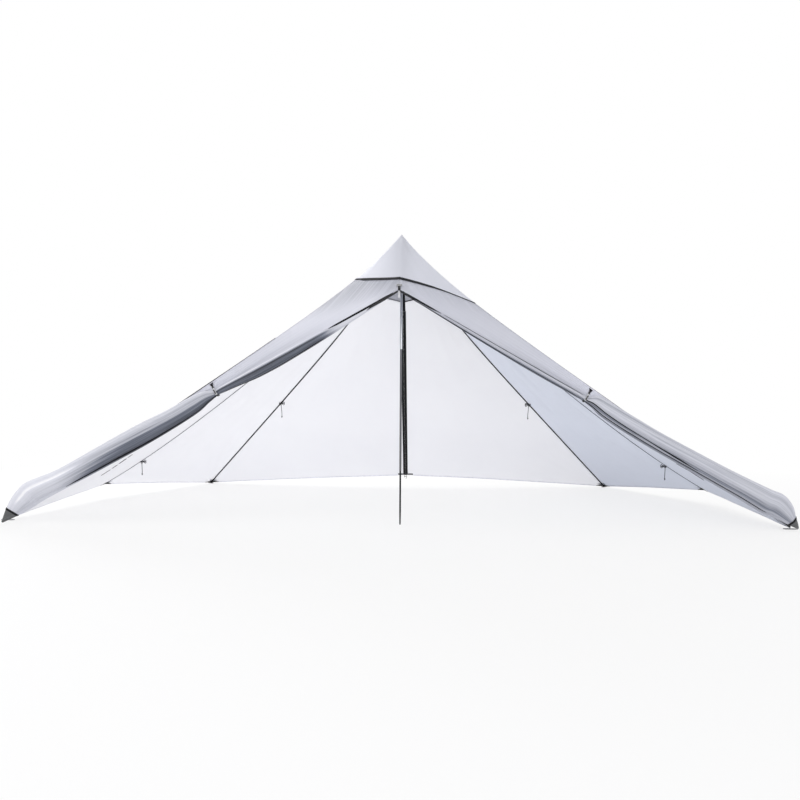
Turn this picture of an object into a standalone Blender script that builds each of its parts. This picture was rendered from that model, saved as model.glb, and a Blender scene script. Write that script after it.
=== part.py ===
"""A single-pole pyramid tent, pitched, with both front doors rolled back along the front ridges.

Lengths are metres. The pole's foot stands at the origin, +Z is up, +X runs along the front from corner
to corner and +Y runs to the back. Every seam is one sagging line from the peak to its foot, and the
panels, bindings, patches and cords all read that line, so a changed size moves them together.
"""

import math

import bmesh
import bpy
import numpy as np
from mathutils import Matrix, Vector

# Driving dimensions of the pitch
PEAK_HEIGHT = 1.45
FRONT_HALF_WIDTH = 1.968
FRONT_SHIFT = 0.042
REAR_HALF_WIDTH = 1.495
REAR_DEPTH = 1.49
SIDE_HALF_WIDTH = 1.893
SIDE_DEPTH = 0.74
SIDE_HEM_RISE = 0.086
REAR_HEM_RISE = 0.083
FRONT_DEPTH = 1.45
RIDGE_SAG = 0.052
SIDE_SAG = 0.085
CORNER_SAG = 0.087
PEAK_FLARE = 0.12
SIDE_FULLNESS = 4
HEM_ARCH = 0.010

# Cloth, binding and webbing
CLEARANCE = 0.0003
FABRIC = 0.0010
SEAM_GAP = 0.0008
SEAM_HEM = 0.0060
TOP_RING = 0.030
BINDING_WING = 0.0050
BINDING_FULL = 0.30
BINDING_THICK = 0.0010
RIDGE_WING = 0.0060
WEBBING = 0.0030
WEBBING_WIDTH = 0.020
PATCH_THICK = 0.0012
PATCH_LIFT = 0.0005

# Peak hood
HOOD_LIFT = 0.0016
HOOD_FRONT_REACH = 0.300
HOOD_REAR_REACH = 0.296
HOOD_LEFT_REACH = 0.240
HOOD_RIGHT_REACH = 0.370
HOOD_SIDE_REACH = 0.300
HOOD_CORNER_REACH = 0.300
RIM_WIDTH = 0.0080
RIM_THICK = 0.0016

# Doors: where the doorway starts below the peak, where the tie-backs pinch the rolls, and the rolls
DOORWAY_TOP = 0.250
TIE_REACH = 1.183
DOOR_MARGIN = 0.064
TIE_WAY = (0.20, -0.45, -0.87)
LEFT_ROLL = 0.026
RIGHT_ROLL = 0.015
ROLL_START = 0.0045
ROLL_SPAN = 1.45
PINCH = 0.014
PLEAT = 0.12
THROAT = 0.022
TURN_REACH = 0.045
WING_HALF = 0.054
STRAP_WIDTH = 0.010
STRAP_THICK = 0.0012
STRAP_ROOM = 0.0018
TOGGLE_LENGTH = 0.026
TOGGLE_RADIUS = 0.0032
TOGGLE_SIDES = 10
STRAP_SIDES = 12

# Rear zip
ZIP_EDGE = 0.0035
ZIP_TAPE_WIDTH = 0.0152
ZIP_TAPE = 0.0008
COIL_WIDTH = 0.0052
COIL_HEIGHT = 0.0020
ZIP_FOOT = 0.006
ZIP_HEM = 0.018
FRONT_ZIP_SINK = 0.0032
SLIDER_LENGTH = 0.012
SLIDER_PLATE = 0.0014
SLIDER_LEG = 0.0016
SLIDER_REST = 0.062
PULL_LENGTH = 0.034
PULL_WIDTH = 0.0076
PULL_THICK = 0.0014
PULL_CORNER = 0.0006
BRIDGE_WIDTH = 0.0024
BRIDGE_BAR = 0.0010
BRIDGE_SPAN = 0.0070
BRIDGE_ROOM = 0.0027
ZIP_TOP_STOP = 0.04
HEM_STRAP_LENGTH = 0.110
HEM_STRAP_WIDTH = 0.014
HOOK_WIDTH = 0.020
HOOK_DROP = 0.026
HOOK_WIRE = 0.0012
HOOK_BAR = 0.0024
HOOK_ARM = 0.55
HOOK_LIP = 0.80
HOOK_EYE = 0.32
FRONT_TAPE_DROP = 1.16
FRONT_TAPE_TAPER = 0.55

# Front corners, rear corners and side hem tabs
CORNER_PATCH = 0.074
CORNER_PATCH_WING = 0.052
CORNER_PATCH_WAY = (0.0, -0.35, 0.94)
REAR_PATCH = 0.060
REAR_PATCH_WING = 0.030
SIDE_PATCH = 0.046
SIDE_PATCH_WING = 0.026
PATCH_TIP = 0.004
STAKE_LOOP_HOLD = 0.036
FRONT_LOOP_OVERHANG = 0.032
REAR_LOOP_OVERHANG = 0.050
STAKE_SLOT_START = 0.004
STAKE_SLOT_END = 0.008
STAKE_SLOT_WIDTH = 0.009

# Telescopic pole, from the foot upwards
UPPER_RADIUS = 0.0065
MIDDLE_RADIUS = 0.0054
LOWER_RADIUS = 0.0044
TUBE_WALL = 0.0008
TIP_LENGTH = 0.062
TIP_FLAT_RADIUS = 0.0028
TIP_END_RADIUS = 0.0036
TIP_SPIGOT = 0.030
MIDDLE_FOOT = 0.270
UPPER_FOOT = 0.880
TUBE_OVERLAP = 0.090
EXPANDER_HEAD = 0.034
EXPANDER_SPIGOT = 0.022
PLUG_WALL = 0.0016
PLUG_HEIGHT = 0.034
PLUG_DROP = 0.038
CUP_WALL = 0.0016
CUP_DEPTH = 0.030

# Tie cords: places down their seams, and the cord itself
CORNER_CORD_PLACE = 0.545
SIDE_CORD_PLACE = 0.856
CORNER_CORD_LENGTH = 0.094
SIDE_CORD_LENGTH = 0.086
CORD_RADIUS = 0.0012
KNOT_RADIUS = 0.0032
BEAD_RADIUS = 0.0044
BEAD_HALF = 0.0037
BEAD_SEAT = 0.675
CORD_SWAY = 0.007

# Mesh density
PANEL_ROWS = 12
ROLL_SIDES = 20
DOOR_COLUMNS = 6
DOOR_ROWS = 8
ROUND_SIDES = 24

PEAK = np.array([0.0, 0.0, PEAK_HEIGHT])
PLUG_TOP = PEAK_HEIGHT - PLUG_DROP
FOOT_RISE = WEBBING + CLEARANCE
REAR_HEM_DEPTH = REAR_DEPTH * (1 - REAR_HEM_RISE / PEAK_HEIGHT)
SIDE_SHIFT = FRONT_SHIFT * (1 - SIDE_DEPTH / REAR_DEPTH)
FEET = {
    "left_ridge": (-FRONT_HALF_WIDTH - FRONT_SHIFT, 0.0, FOOT_RISE),
    "left_side": (-SIDE_HALF_WIDTH - SIDE_SHIFT, SIDE_DEPTH, SIDE_HEM_RISE),
    "left_corner": (-REAR_HALF_WIDTH, REAR_DEPTH, FOOT_RISE),
    "rear": (0.0, REAR_HEM_DEPTH, REAR_HEM_RISE),
    "right_corner": (REAR_HALF_WIDTH, REAR_DEPTH, FOOT_RISE),
    "right_side": (SIDE_HALF_WIDTH - SIDE_SHIFT, SIDE_DEPTH, SIDE_HEM_RISE),
    "right_ridge": (FRONT_HALF_WIDTH - FRONT_SHIFT, 0.0, FOOT_RISE),
    "front": (0.0, -FRONT_DEPTH, REAR_HEM_RISE),
}
SAGS = {
    "left_ridge": RIDGE_SAG,
    "left_side": SIDE_SAG,
    "left_corner": CORNER_SAG,
    "rear": 0.0,
    "right_corner": CORNER_SAG,
    "right_side": SIDE_SAG,
    "right_ridge": RIDGE_SAG,
    "front": 0.0,
}
ROWS = TOP_RING + (1 - TOP_RING) * np.linspace(0, 1, PANEL_ROWS + 1) ** 1.3


# Scene, collections and materials


def clear_scene():
    for thing in list(bpy.data.objects):
        bpy.data.objects.remove(thing, do_unlink=True)


def new_collection(name):
    made = bpy.data.collections.new(name)
    bpy.context.scene.collection.children.link(made)
    return made


def new_material(name, colour, roughness, metallic=0.0):
    made = bpy.data.materials.new(name)
    made.use_nodes = True
    shader = made.node_tree.nodes["Principled BSDF"]
    shader.inputs["Base Color"].default_value = (*colour, 1.0)
    shader.inputs["Roughness"].default_value = roughness
    shader.inputs["Metallic"].default_value = metallic
    return made


FINISHES = {
    "canopy": ((0.66, 0.67, 0.75), 0.55, 0.0),
    "hood": ((0.72, 0.73, 0.80), 0.50, 0.0),
    "door": ((0.58, 0.60, 0.70), 0.55, 0.0),
    "binding": ((0.012, 0.012, 0.016), 0.60, 0.0),
    "webbing": ((0.06, 0.06, 0.065), 0.75, 0.0),
    "patch": ((0.16, 0.16, 0.17), 0.70, 0.0),
    "zip": ((0.010, 0.010, 0.012), 0.45, 0.0),
    "puller": ((0.62, 0.62, 0.64), 0.35, 0.8),
    "toggle": ((0.03, 0.03, 0.035), 0.40, 0.0),
    "silver_tube": ((0.62, 0.63, 0.65), 0.25, 0.9),
    "black_tube": ((0.02, 0.02, 0.022), 0.30, 0.6),
    "plastic": ((0.03, 0.03, 0.03), 0.50, 0.0),
    "cord": ((0.02, 0.02, 0.022), 0.80, 0.0),
}


def place(name, data, finish):
    """Links one named object with its own material."""
    made = bpy.data.objects.new(name, data)
    colour, roughness, metallic = FINISHES[finish]
    data.materials.append(new_material(name, colour, roughness, metallic))
    TENT.objects.link(made)
    return made


def smooth(mesh, angle=40):
    mesh.shade_smooth()
    mesh.set_sharp_from_angle(angle=math.radians(angle))


# Seam lines and the reference surface, which is the inner face of the cloth


def unit(vectors):
    vectors = np.asarray(vectors, float)
    return vectors / np.linalg.norm(vectors, axis=-1, keepdims=True)


def sag_share(t, fullness):
    """How far a seam hangs below its chord, as a share of its sag, straight between the panels' rows."""
    rows = np.append(0.0, ROWS)
    shape = (1 - np.exp(-rows / PEAK_FLARE)) * (1 - rows**fullness)
    return np.interp(t, rows, shape / shape.max())


def chord_point(seam, t):
    foot = np.array(FEET[seam])
    return PEAK + np.asarray(t)[..., None] * (foot - PEAK)


def sag_offset(seam, t):
    """The sag square to the chord, inwards and down, in the upright plane that holds the seam."""
    foot = np.array(FEET[seam]) - PEAK
    reach = np.hypot(foot[0], foot[1])
    outward = foot[:2] / reach
    length = math.hypot(reach, foot[2])
    inward = np.array([outward[0] * foot[2], outward[1] * foot[2], -reach]) / length
    fullness = SIDE_FULLNESS if seam.endswith("side") else 1
    return (SAGS[seam] * sag_share(np.asarray(t, float), fullness))[..., None] * inward


def seam_point(seam, t):
    return chord_point(seam, t) + sag_offset(seam, t)


def seam_length(seam):
    return float(np.linalg.norm(np.array(FEET[seam]) - PEAK))


def surface_point(first, second, s, t):
    """The cloth between two seams, at share s across and t down. Beside the rear zip it runs flat."""
    s, t = np.broadcast_arrays(np.asarray(s, float), np.asarray(t, float))
    flat = (1 - s)[..., None] * chord_point(first, t) + s[..., None] * chord_point(second, t)
    power_first = 2 if second == "rear" else 1
    power_second = 2 if first == "rear" else 1
    hang = ((1 - s) ** power_first)[..., None] * sag_offset(first, t)
    return flat + hang + (s**power_second)[..., None] * sag_offset(second, t)


def width_at(first, second, t):
    return np.linalg.norm(seam_point(first, t) - seam_point(second, t), axis=-1)


# Mesh makers


def grid_faces(rows, columns, closed=False):
    """Quads of a grid of points in row order; closed joins the last column to the first."""
    across = columns if closed else columns - 1
    for row in range(rows - 1):
        for column in range(across):
            right = (column + 1) % columns
            yield (
                row * columns + column,
                row * columns + right,
                (row + 1) * columns + right,
                (row + 1) * columns + column,
            )


def sheet_mesh(name, grid, closed=False):
    """An open sheet from a grid of points, with its faces turned upwards."""
    rows, columns = grid.shape[:2]
    mesh = bpy.data.meshes.new(name)
    mesh.from_pydata(grid.reshape(-1, 3).tolist(), [], list(grid_faces(rows, columns, closed)))
    shape = bmesh.new()
    shape.from_mesh(mesh)
    shape.normal_update()
    if sum(face.normal.z * face.calc_area() for face in shape.faces) < 0:
        bmesh.ops.reverse_faces(shape, faces=shape.faces[:])
    shape.to_mesh(mesh)
    shape.free()
    return mesh


def thicken(thing, thickness):
    """Gives a sheet its thickness on the outer side."""
    solid = thing.modifiers.new("thickness", "SOLIDIFY")
    solid.thickness = thickness
    solid.offset = 1.0
    solid.use_even_offset = True


def cloth(name, grid, finish, thickness=FABRIC):
    mesh = sheet_mesh(name, grid)
    thing = place(name, mesh, finish)
    thicken(thing, thickness)
    smooth(mesh, 60)
    return thing


def raise_sheet(mesh, height):
    """Moves a sheet outwards by an even height, mitred at its creases."""
    shape = bmesh.new()
    shape.from_mesh(mesh)
    shape.normal_update()
    moves = [vert.normal * vert.calc_shell_factor() * height for vert in shape.verts]
    for vert, move in zip(shape.verts, moves):
        vert.co += move
    shape.to_mesh(mesh)
    shape.free()


def loft(name, rings, finish, ends=True, closed_way=False, angle=40):
    """A closed body through rings of points: shape (rings, points, 3)."""
    rings = np.asarray(rings, float)
    count, points = rings.shape[:2]
    faces = list(grid_faces(count, points, closed=True))
    if closed_way:
        last = (count - 1) * points
        for point in range(points):
            right = (point + 1) % points
            faces.append((last + point, last + right, right, point))
    elif ends:
        faces.append(tuple(range(points - 1, -1, -1)))
        faces.append(tuple(range((count - 1) * points, count * points)))
    mesh = bpy.data.meshes.new(name)
    mesh.from_pydata(rings.reshape(-1, 3).tolist(), [], faces)
    shape = bmesh.new()
    shape.from_mesh(mesh)
    bmesh.ops.recalc_face_normals(shape, faces=shape.faces[:])
    shape.to_mesh(mesh)
    shape.free()
    smooth(mesh, angle)
    return place(name, mesh, finish)


def block(name, size, finish, matrix):
    """A box of the given size, centred, set by a matrix."""
    mesh = bpy.data.meshes.new(name)
    shape = bmesh.new()
    bmesh.ops.create_cube(shape, size=1.0)
    bmesh.ops.scale(shape, vec=Vector(size), verts=shape.verts[:])
    shape.to_mesh(mesh)
    shape.free()
    thing = place(name, mesh, finish)
    thing.matrix_world = matrix
    return thing


def turned(name, profile, finish, sides=ROUND_SIDES):
    """A turned shape about Z from a closed profile of (radius, height) points."""
    mesh = bpy.data.meshes.new(name)
    points = [(radius, 0.0, height) for radius, height in profile]
    on_axis = profile[0][0] == 0.0
    edges = [(i, i + 1) for i in range(len(points) - 1)]
    if not on_axis:
        edges.append((len(points) - 1, 0))
    mesh.from_pydata(points, edges, [])
    thing = place(name, mesh, finish)
    screw = thing.modifiers.new("turn", "SCREW")
    screw.steps = sides
    screw.render_steps = sides
    screw.use_merge_vertices = True
    screw.merge_threshold = 0.00001
    screw.use_smooth_shade = True
    return thing


# The canopy


def edge_share(first, second, t, distance):
    return distance / width_at(first, second, t)


PANELS = {
    "left_front_side_panel": ("left_ridge", "left_side", 6),
    "left_side_panel": ("left_side", "left_corner", 6),
    "rear_left_panel": ("left_corner", "rear", 8),
    "rear_right_panel": ("rear", "right_corner", 8),
    "right_side_panel": ("right_corner", "right_side", 6),
    "right_front_side_panel": ("right_side", "right_ridge", 6),
}
ZIP_TOP_PLACE = HOOD_REAR_REACH / REAR_HEM_DEPTH + 0.006


def edge_distance(seam, t):
    """How far a panel's edge stays from its seam line: wider along the open slot of the rear zip."""
    close = SEAM_GAP / 2 * np.interp(t, (TOP_RING, BINDING_FULL), (1.6, 1))
    return np.where((t > ZIP_TOP_PLACE + 0.02) & (seam == "rear"), ZIP_EDGE, close)


def hem_share(seam, neighbour, t, columns):
    """Where the hem beside a seam ends, as a share of the cloth's width."""
    wide = ZIP_HEM if seam == "rear" else SEAM_HEM
    return np.minimum(edge_share(seam, neighbour, t, wide), 0.5 / columns)


def panel_grid(first, second, columns):
    """Points of one panel, row by row from the top ring to the hem, which arches a little."""
    t = ROWS[:, None]
    start = edge_share(first, second, t, edge_distance(first, t))
    stop = 1 - edge_share(first, second, t, edge_distance(second, t))
    s = start + (stop - start) * np.linspace(0, 1, columns + 1)[None, :]
    near, far = hem_share(first, second, t, columns), 1 - hem_share(second, first, t, columns)
    s = np.concatenate([s[:, :1], near, s[:, 1:-1], far, s[:, -1:]], axis=1)
    arch = HEM_ARCH / seam_length(first) * 4 * s * (1 - s)
    fade = (t - TOP_RING) / (1 - TOP_RING)
    return surface_point(first, second, s, t - arch * fade**3)


def make_panels():
    for name, (first, second, columns) in PANELS.items():
        cloth(name, panel_grid(first, second, columns), "canopy")


# Bindings and patches that follow a seam


NEIGHBOURS = {
    "left_ridge": ("front", "left_side"),
    "left_side": ("left_ridge", "left_corner"),
    "left_corner": ("left_side", "rear"),
    "rear": ("left_corner", "right_corner"),
    "right_corner": ("rear", "right_side"),
    "right_side": ("right_corner", "right_ridge"),
    "right_ridge": ("right_side", "front"),
}


def cloth_step(seam, neighbour, t):
    """From a seam to the first line of points in the cloth on one side of it."""
    if neighbour == "front":
        turned_up = t[:, None] > 1 - (CORNER_PATCH + CLEARANCE) / seam_length(seam)
        return np.where(turned_up, CORNER_PATCH_WAY, door_edge(seam, t) - seam_point(seam, t))
    columns = [panel[2] for panel in PANELS.values() if {seam, neighbour} == set(panel[:2])][0]
    return surface_point(seam, neighbour, hem_share(seam, neighbour, t, columns), t) - seam_point(seam, t)


def seam_frame(seam, t):
    """Seam points, then for both neighbours the way into their cloth and its outward normal."""
    t = np.atleast_1d(np.asarray(t, float))
    here = seam_point(seam, t)
    along = unit(seam_point(seam, t + 0.001) - seam_point(seam, t - 0.001))
    sides = []
    for neighbour in NEIGHBOURS[seam]:
        way = cloth_step(seam, neighbour, t)
        way = unit(way - (way * along).sum(axis=-1, keepdims=True) * along)
        normal = unit(np.cross(along, way))
        normal = np.where(normal[:, 2:] < 0, -normal, normal)
        sides.append((way, normal))
    return here, sides


def level(here, sides, height):
    """The line at an even height over both neighbours' inner faces; inside is below zero."""
    first, second = sides[0][1], sides[1][1]
    spread = 1 + (first * second).sum(axis=-1, keepdims=True)
    return here + height * (first + second) / spread


def seam_strip(name, seam, rows, wing, low, high, finish):
    """A strip folded along a seam, between two heights over the inner face, wing wide on either side."""
    here, sides = seam_frame(seam, rows)
    wing = np.broadcast_to(np.asarray(wing, float), here.shape[:1])[:, None]
    (way_a, normal_a), (way_b, normal_b) = sides
    ring = [
        here + wing * way_a + low * normal_a,
        level(here, sides, low),
        here + wing * way_b + low * normal_b,
        here + wing * way_b + high * normal_b,
        level(here, sides, high),
        here + wing * way_a + high * normal_a,
    ]
    return loft(name, np.stack(ring, axis=1), finish, angle=25)


INSIDE = -1.5 * CLEARANCE
INSIDE_BINDING = INSIDE - BINDING_THICK
OUTSIDE = FABRIC + CLEARANCE
SEAM_END = 0.006
SEAM_START = TOP_RING + 0.004


def rows_between(start, stop, rows):
    inner = rows[(rows > start + 0.002) & (rows < stop - 0.002)]
    return np.concatenate([[start], inner, [stop]])


def rim_place(seam):
    """How far down its seam the hood's rim lies."""
    reach = {
        "left_ridge": HOOD_LEFT_REACH,
        "right_ridge": HOOD_RIGHT_REACH,
        "front": HOOD_FRONT_REACH,
        "rear": HOOD_REAR_REACH,
        "left_side": HOOD_SIDE_REACH,
        "right_side": HOOD_SIDE_REACH,
        "left_corner": HOOD_CORNER_REACH,
        "right_corner": HOOD_CORNER_REACH,
    }[seam]
    foot = FEET[seam]
    return reach / math.hypot(foot[0], foot[1])


def make_bindings():
    for side in ("left", "right"):
        for part, label in (("side", "side_binding"), ("corner", "corner_binding")):
            seam = f"{side}_{part}"
            rows = rows_between(SEAM_START, 1 - SEAM_END, ROWS)
            wing = BINDING_WING * np.interp(rows, (TOP_RING, BINDING_FULL), (0.4, 1))
            seam_strip(f"{side}_{label}", seam, rows, wing, INSIDE_BINDING, INSIDE, "binding")
        seam = f"{side}_ridge"
        start = rim_place(seam) + (RIM_WIDTH + 4 * CLEARANCE) / seam_length(seam)
        stop = 1 - (CORNER_PATCH + 2 * CLEARANCE) / seam_length(seam)
        rows = rows_between(start, stop, np.union1d(ROWS, door_rows(seam)))
        high = OUTSIDE + BINDING_THICK
        seam_strip(f"{side}_ridge_binding", seam, rows, RIDGE_WING, OUTSIDE, high, "binding")
    rows = rows_between(SEAM_START, ZIP_TOP_PLACE - 0.004, ROWS)
    seam_strip("rear_peak_binding", "rear", rows, BINDING_WING, INSIDE_BINDING, INSIDE, "binding")


def corner_patch(name, seam, length, wide):
    """A folded three-cornered patch over a seam's foot, running to a point there."""
    up_seam = np.linspace(length, PATCH_TIP, 4)
    rows = 1 - up_seam / seam_length(seam)
    wing = wide * up_seam / length
    low = OUTSIDE + PATCH_LIFT
    return seam_strip(name, seam, rows, wing, low, low + PATCH_THICK, "patch")


def rounded_outline(length, width, radius, steps=5):
    """Points round a rectangle with round corners, its middle at zero."""
    points = []
    for index, (right, up) in enumerate(((1, 1), (-1, 1), (-1, -1), (1, -1))):
        for step in range(steps + 1):
            turn = math.radians(90 * (index + step / steps))
            x = right * (length / 2 - radius) + radius * math.cos(turn)
            y = up * (width / 2 - radius) + radius * math.sin(turn)
            points.append((x, y))
    return points


def flat_plate(name, outlines, thickness, finish, matrix):
    """A flat plate from closed outlines, the later ones its holes."""
    curve = bpy.data.curves.new(name, "CURVE")
    curve.dimensions = "2D"
    curve.fill_mode = "BOTH"
    curve.extrude = thickness / 2
    curve.render_resolution_u = 0
    for outline in outlines:
        spline = curve.splines.new("POLY")
        spline.points.add(len(outline) - 1)
        for point, (x, y) in zip(spline.points, outline):
            point.co = (x, y, 0.0, 1.0)
        spline.use_cyclic_u = True
    thing = place(name, curve, finish)
    thing.matrix_world = matrix
    return thing


def stake_loop(name, seam, overhang):
    """A flat loop of webbing on the ground, sewn under a corner; the peg's slot lies past the corner."""
    foot = FEET[seam]
    bearing = math.atan2(foot[1], foot[0])
    length = STAKE_LOOP_HOLD + overhang
    slot = overhang - STAKE_SLOT_END - STAKE_SLOT_START
    slot_middle = STAKE_SLOT_START + slot / 2 - (overhang - STAKE_LOOP_HOLD) / 2
    reach = math.hypot(foot[0], foot[1]) + (overhang - STAKE_LOOP_HOLD) / 2
    spot = Vector((reach * math.cos(bearing), reach * math.sin(bearing), WEBBING / 2))
    outer = rounded_outline(length, WEBBING_WIDTH, WEBBING_WIDTH * 0.3)
    hole = rounded_outline(slot, STAKE_SLOT_WIDTH, STAKE_SLOT_WIDTH * 0.3)
    hole = [(x + slot_middle, y) for x, y in hole]
    matrix = Matrix.Translation(spot) @ Matrix.Rotation(bearing, 4, "Z")
    return flat_plate(name, [outer, hole], WEBBING, "webbing", matrix)


def make_corners():
    for side in ("left", "right"):
        ridge, corner, middle = f"{side}_ridge", f"{side}_corner", f"{side}_side"
        corner_patch(f"front_{side}_corner_patch", ridge, CORNER_PATCH, CORNER_PATCH_WING)
        corner_patch(f"rear_{side}_corner_patch", corner, REAR_PATCH, REAR_PATCH_WING)
        corner_patch(f"{side}_hem_patch", middle, SIDE_PATCH, SIDE_PATCH_WING)
        stake_loop(f"front_{side}_stake_loop", ridge, FRONT_LOOP_OVERHANG)
        stake_loop(f"rear_{side}_stake_loop", corner, REAR_LOOP_OVERHANG)


# Peak hood and its rim


ROUND = ("left_ridge", "left_side", "left_corner", "rear", "right_corner", "right_side", "right_ridge", "front")
HOOD_ROWS = 6


def hood_columns(first, second):
    """How many columns of points the hood has between two seams: as many as the cloth under it."""
    return next((panel[2] for panel in PANELS.values() if (first, second) == panel[:2]), DOOR_COLUMNS)


def hood_grid(start, stop, rows):
    """Points round the peak, each end given as a share of the rim's distance and a length in metres."""
    lines = []
    for index, first in enumerate(ROUND):
        second = ROUND[(index + 1) % len(ROUND)]
        columns = hood_columns(first, second)
        for s in np.arange(columns) / columns:
            rim = (1 - s) * rim_place(first) + s * rim_place(second)
            length = (1 - s) * seam_length(first) + s * seam_length(second)
            low = rim * start[0] + start[1] / length
            high = rim * stop[0] + stop[1] / length
            t = low + (high - low) * np.linspace(0, 1, rows)
            lines.append(surface_point(first, second, s, np.maximum(t, TOP_RING)))
    return np.stack(lines, axis=1)


def make_hood():
    """The hood over the peak and its rim; returns how high its inner point is."""
    grid = hood_grid((0.0, TOP_RING * seam_length("rear")), (1.0, 0.0), HOOD_ROWS)
    mesh = sheet_mesh("peak_hood", grid, closed=True)
    shape = bmesh.new()
    shape.from_mesh(mesh)
    top = shape.verts.new(Vector((0.0, 0.0, PEAK_HEIGHT)))
    shape.verts.ensure_lookup_table()
    count = grid.shape[1]
    for column in range(count):
        shape.faces.new((shape.verts[column], shape.verts[(column + 1) % count], top))
    bmesh.ops.recalc_face_normals(shape, faces=shape.faces[:])
    if sum(face.normal.z * face.calc_area() for face in shape.faces) < 0:
        bmesh.ops.reverse_faces(shape, faces=shape.faces[:])
    shape.to_mesh(mesh)
    shape.free()
    raise_sheet(mesh, FABRIC + HOOD_LIFT)
    inner_peak = max(vert.co.z for vert in mesh.vertices)
    hood = place("peak_hood", mesh, "hood")
    thicken(hood, FABRIC)
    smooth(mesh, 60)

    band = hood_grid((1.0, 2 * CLEARANCE), (1.0, 2 * CLEARANCE + RIM_WIDTH), 2)
    mesh = sheet_mesh("hood_rim_binding", band, closed=True)
    raise_sheet(mesh, FABRIC + HOOD_LIFT)
    rim = place("hood_rim_binding", mesh, "binding")
    thicken(rim, RIM_THICK)
    return inner_peak


# Doors: a taut top sheet, and a roll that swells, is pinched at the tie-back and lies along the ridge


# Below the tie-back: place as a share of the way to the foot, then as shares of the wing's largest half
# height the lift of the roll's middle over the ridge, the left and right half heights and the half depth
ROLL_STATIONS = (
    (0.051, -1.130, 0.426, 0.389, 0.352),
    (0.109, -1.204, 0.574, 0.481, 0.444),
    (0.206, -1.111, 0.667, 0.519, 0.537),
    (0.341, -0.852, 0.759, 0.593, 0.593),
    (0.496, -0.481, 0.778, 0.630, 0.611),
    (0.622, -0.185, 0.778, 0.648, 0.611),
    (0.719, 0.111, 0.815, 0.704, 0.574),
    (0.830, 0.630, 1.000, 0.926, 0.481),
    (0.876, 0.778, 1.000, 0.963, 0.407),
    (0.905, 0.667, 0.796, 0.796, 0.315),
    (0.922, 0.519, 0.444, 0.444, 0.185),
)
PINCH_STATION = 9


def tie_place(ridge):
    """How far down its ridge the tie-back is."""
    return TIE_REACH / seam_length(ridge)


def door_edge(ridge, t):
    """The lower edge of the taut sheet: the centre line down to the doorway's top, then the fold line."""
    t = np.atleast_1d(np.asarray(t, float))
    side = math.copysign(1.0, FEET[ridge][0])
    closed = chord_point("front", np.minimum(t, DOORWAY_TOP))
    closed[:, 0] += side * SEAM_GAP / 2
    share = np.clip((t - DOORWAY_TOP) / (tie_place(ridge) - DOORWAY_TOP), 0, 1)[:, None]
    start = chord_point("front", DOORWAY_TOP) + np.array([side * SEAM_GAP / 2, 0, 0])
    fold = np.where(share > 0, (1 - share) * start + share * tie_corner(ridge), closed)
    beyond = seam_point(ridge, t) + tie_corner(ridge) - seam_point(ridge, tie_place(ridge))
    return np.where(t[:, None] > tie_place(ridge), beyond, fold)


def tie_corner(ridge):
    """The sheet's lowest corner, where the tie-back gathers the door under its ridge."""
    inward = -math.copysign(1.0, FEET[ridge][0])
    return seam_point(ridge, tie_place(ridge)) + DOOR_MARGIN * unit(np.array(TIE_WAY) * (inward, 1, 1))


def door_rows(ridge):
    """The panels' rows down to the tie-back, with more of them where the sheet twists."""
    tie = tie_place(ridge)
    return np.sort(np.append(ROWS[ROWS < tie], np.linspace(DOORWAY_TOP, tie, DOOR_ROWS)))


def door_sheet_grid(ridge):
    """Straight lines of points from the ridge seam to the lower edge."""
    t = door_rows(ridge)
    root = seam_point(ridge, t)
    across = door_edge(ridge, t) - root
    width = np.linalg.norm(across, axis=1)[:, None]
    first = SEAM_GAP / 2 / width
    hem = np.minimum(SEAM_HEM / width, 0.5 / DOOR_COLUMNS)
    even = first + (1 - first) * np.linspace(0, 1, DOOR_COLUMNS + 1)
    share = np.concatenate([even[:, :1], hem, even[:, 1:]], axis=1)
    return root[:, None] + share[..., None] * across[:, None]


def sheet_normal(ridge):
    """Outward normal of the closed door's plane."""
    foot, front = np.array(FEET[ridge]) - PEAK, np.array(FEET["front"]) - PEAK
    normal = unit(np.cross(foot, front))
    return normal if normal[2] > 0 else -normal


def roll_radius(share, swell):
    """The roll swells from the doorway's top and thins again towards the tie-back."""
    return ROLL_START + (swell - ROLL_START) * np.sin(np.pi * (share / ROLL_SPAN) ** 1.1)


def roll_stations(ridge, swell):
    """Middles, half heights and half depths of the roll, from the doorway's top to the corner."""
    share = np.linspace(0.03, 1.0, PINCH_STATION + 1)
    t = DOORWAY_TOP + share * (tie_place(ridge) - DOORWAY_TOP)
    radius = roll_radius(share, swell)
    pinch = np.clip((share - 0.75) / 0.25, 0, 1)
    radius = radius * (1 - pinch) + PINCH * pinch
    upper = door_edge(ridge, t) - (radius + CLEARANCE)[:, None] * sheet_normal(ridge)
    table = np.array(ROLL_STATIONS) * (1, *(4 * [WING_HALF]))
    height = table[:, 2] if ridge == "left_ridge" else table[:, 3]
    throat_end = (TIE_REACH + THROAT) / seam_length(ridge)
    line = seam_point(ridge, throat_end + (1 - throat_end) * table[:, 0])
    along = unit(np.array(FEET[ridge]) - PEAK)
    rise = np.cross(along, [0.0, 1.0, 0.0])
    rise = rise if rise[2] > 0 else -rise
    depth = table[:, 4] * (1 + PLEAT) + OUTSIDE + BINDING_THICK + RIDGE_WING
    lower = line + table[:, 1:2] * rise - depth[:, None] * np.array([0.0, 1.0, 0.0])
    throat = upper[-1] + np.outer((0.5, 1.0), THROAT * along)
    middles = np.concatenate([upper, throat, lower])
    tall = np.concatenate([radius, [PINCH, PINCH], height])
    deep = np.concatenate([radius, [PINCH, PINCH], table[:, 4]])
    return middles, tall, deep


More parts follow.
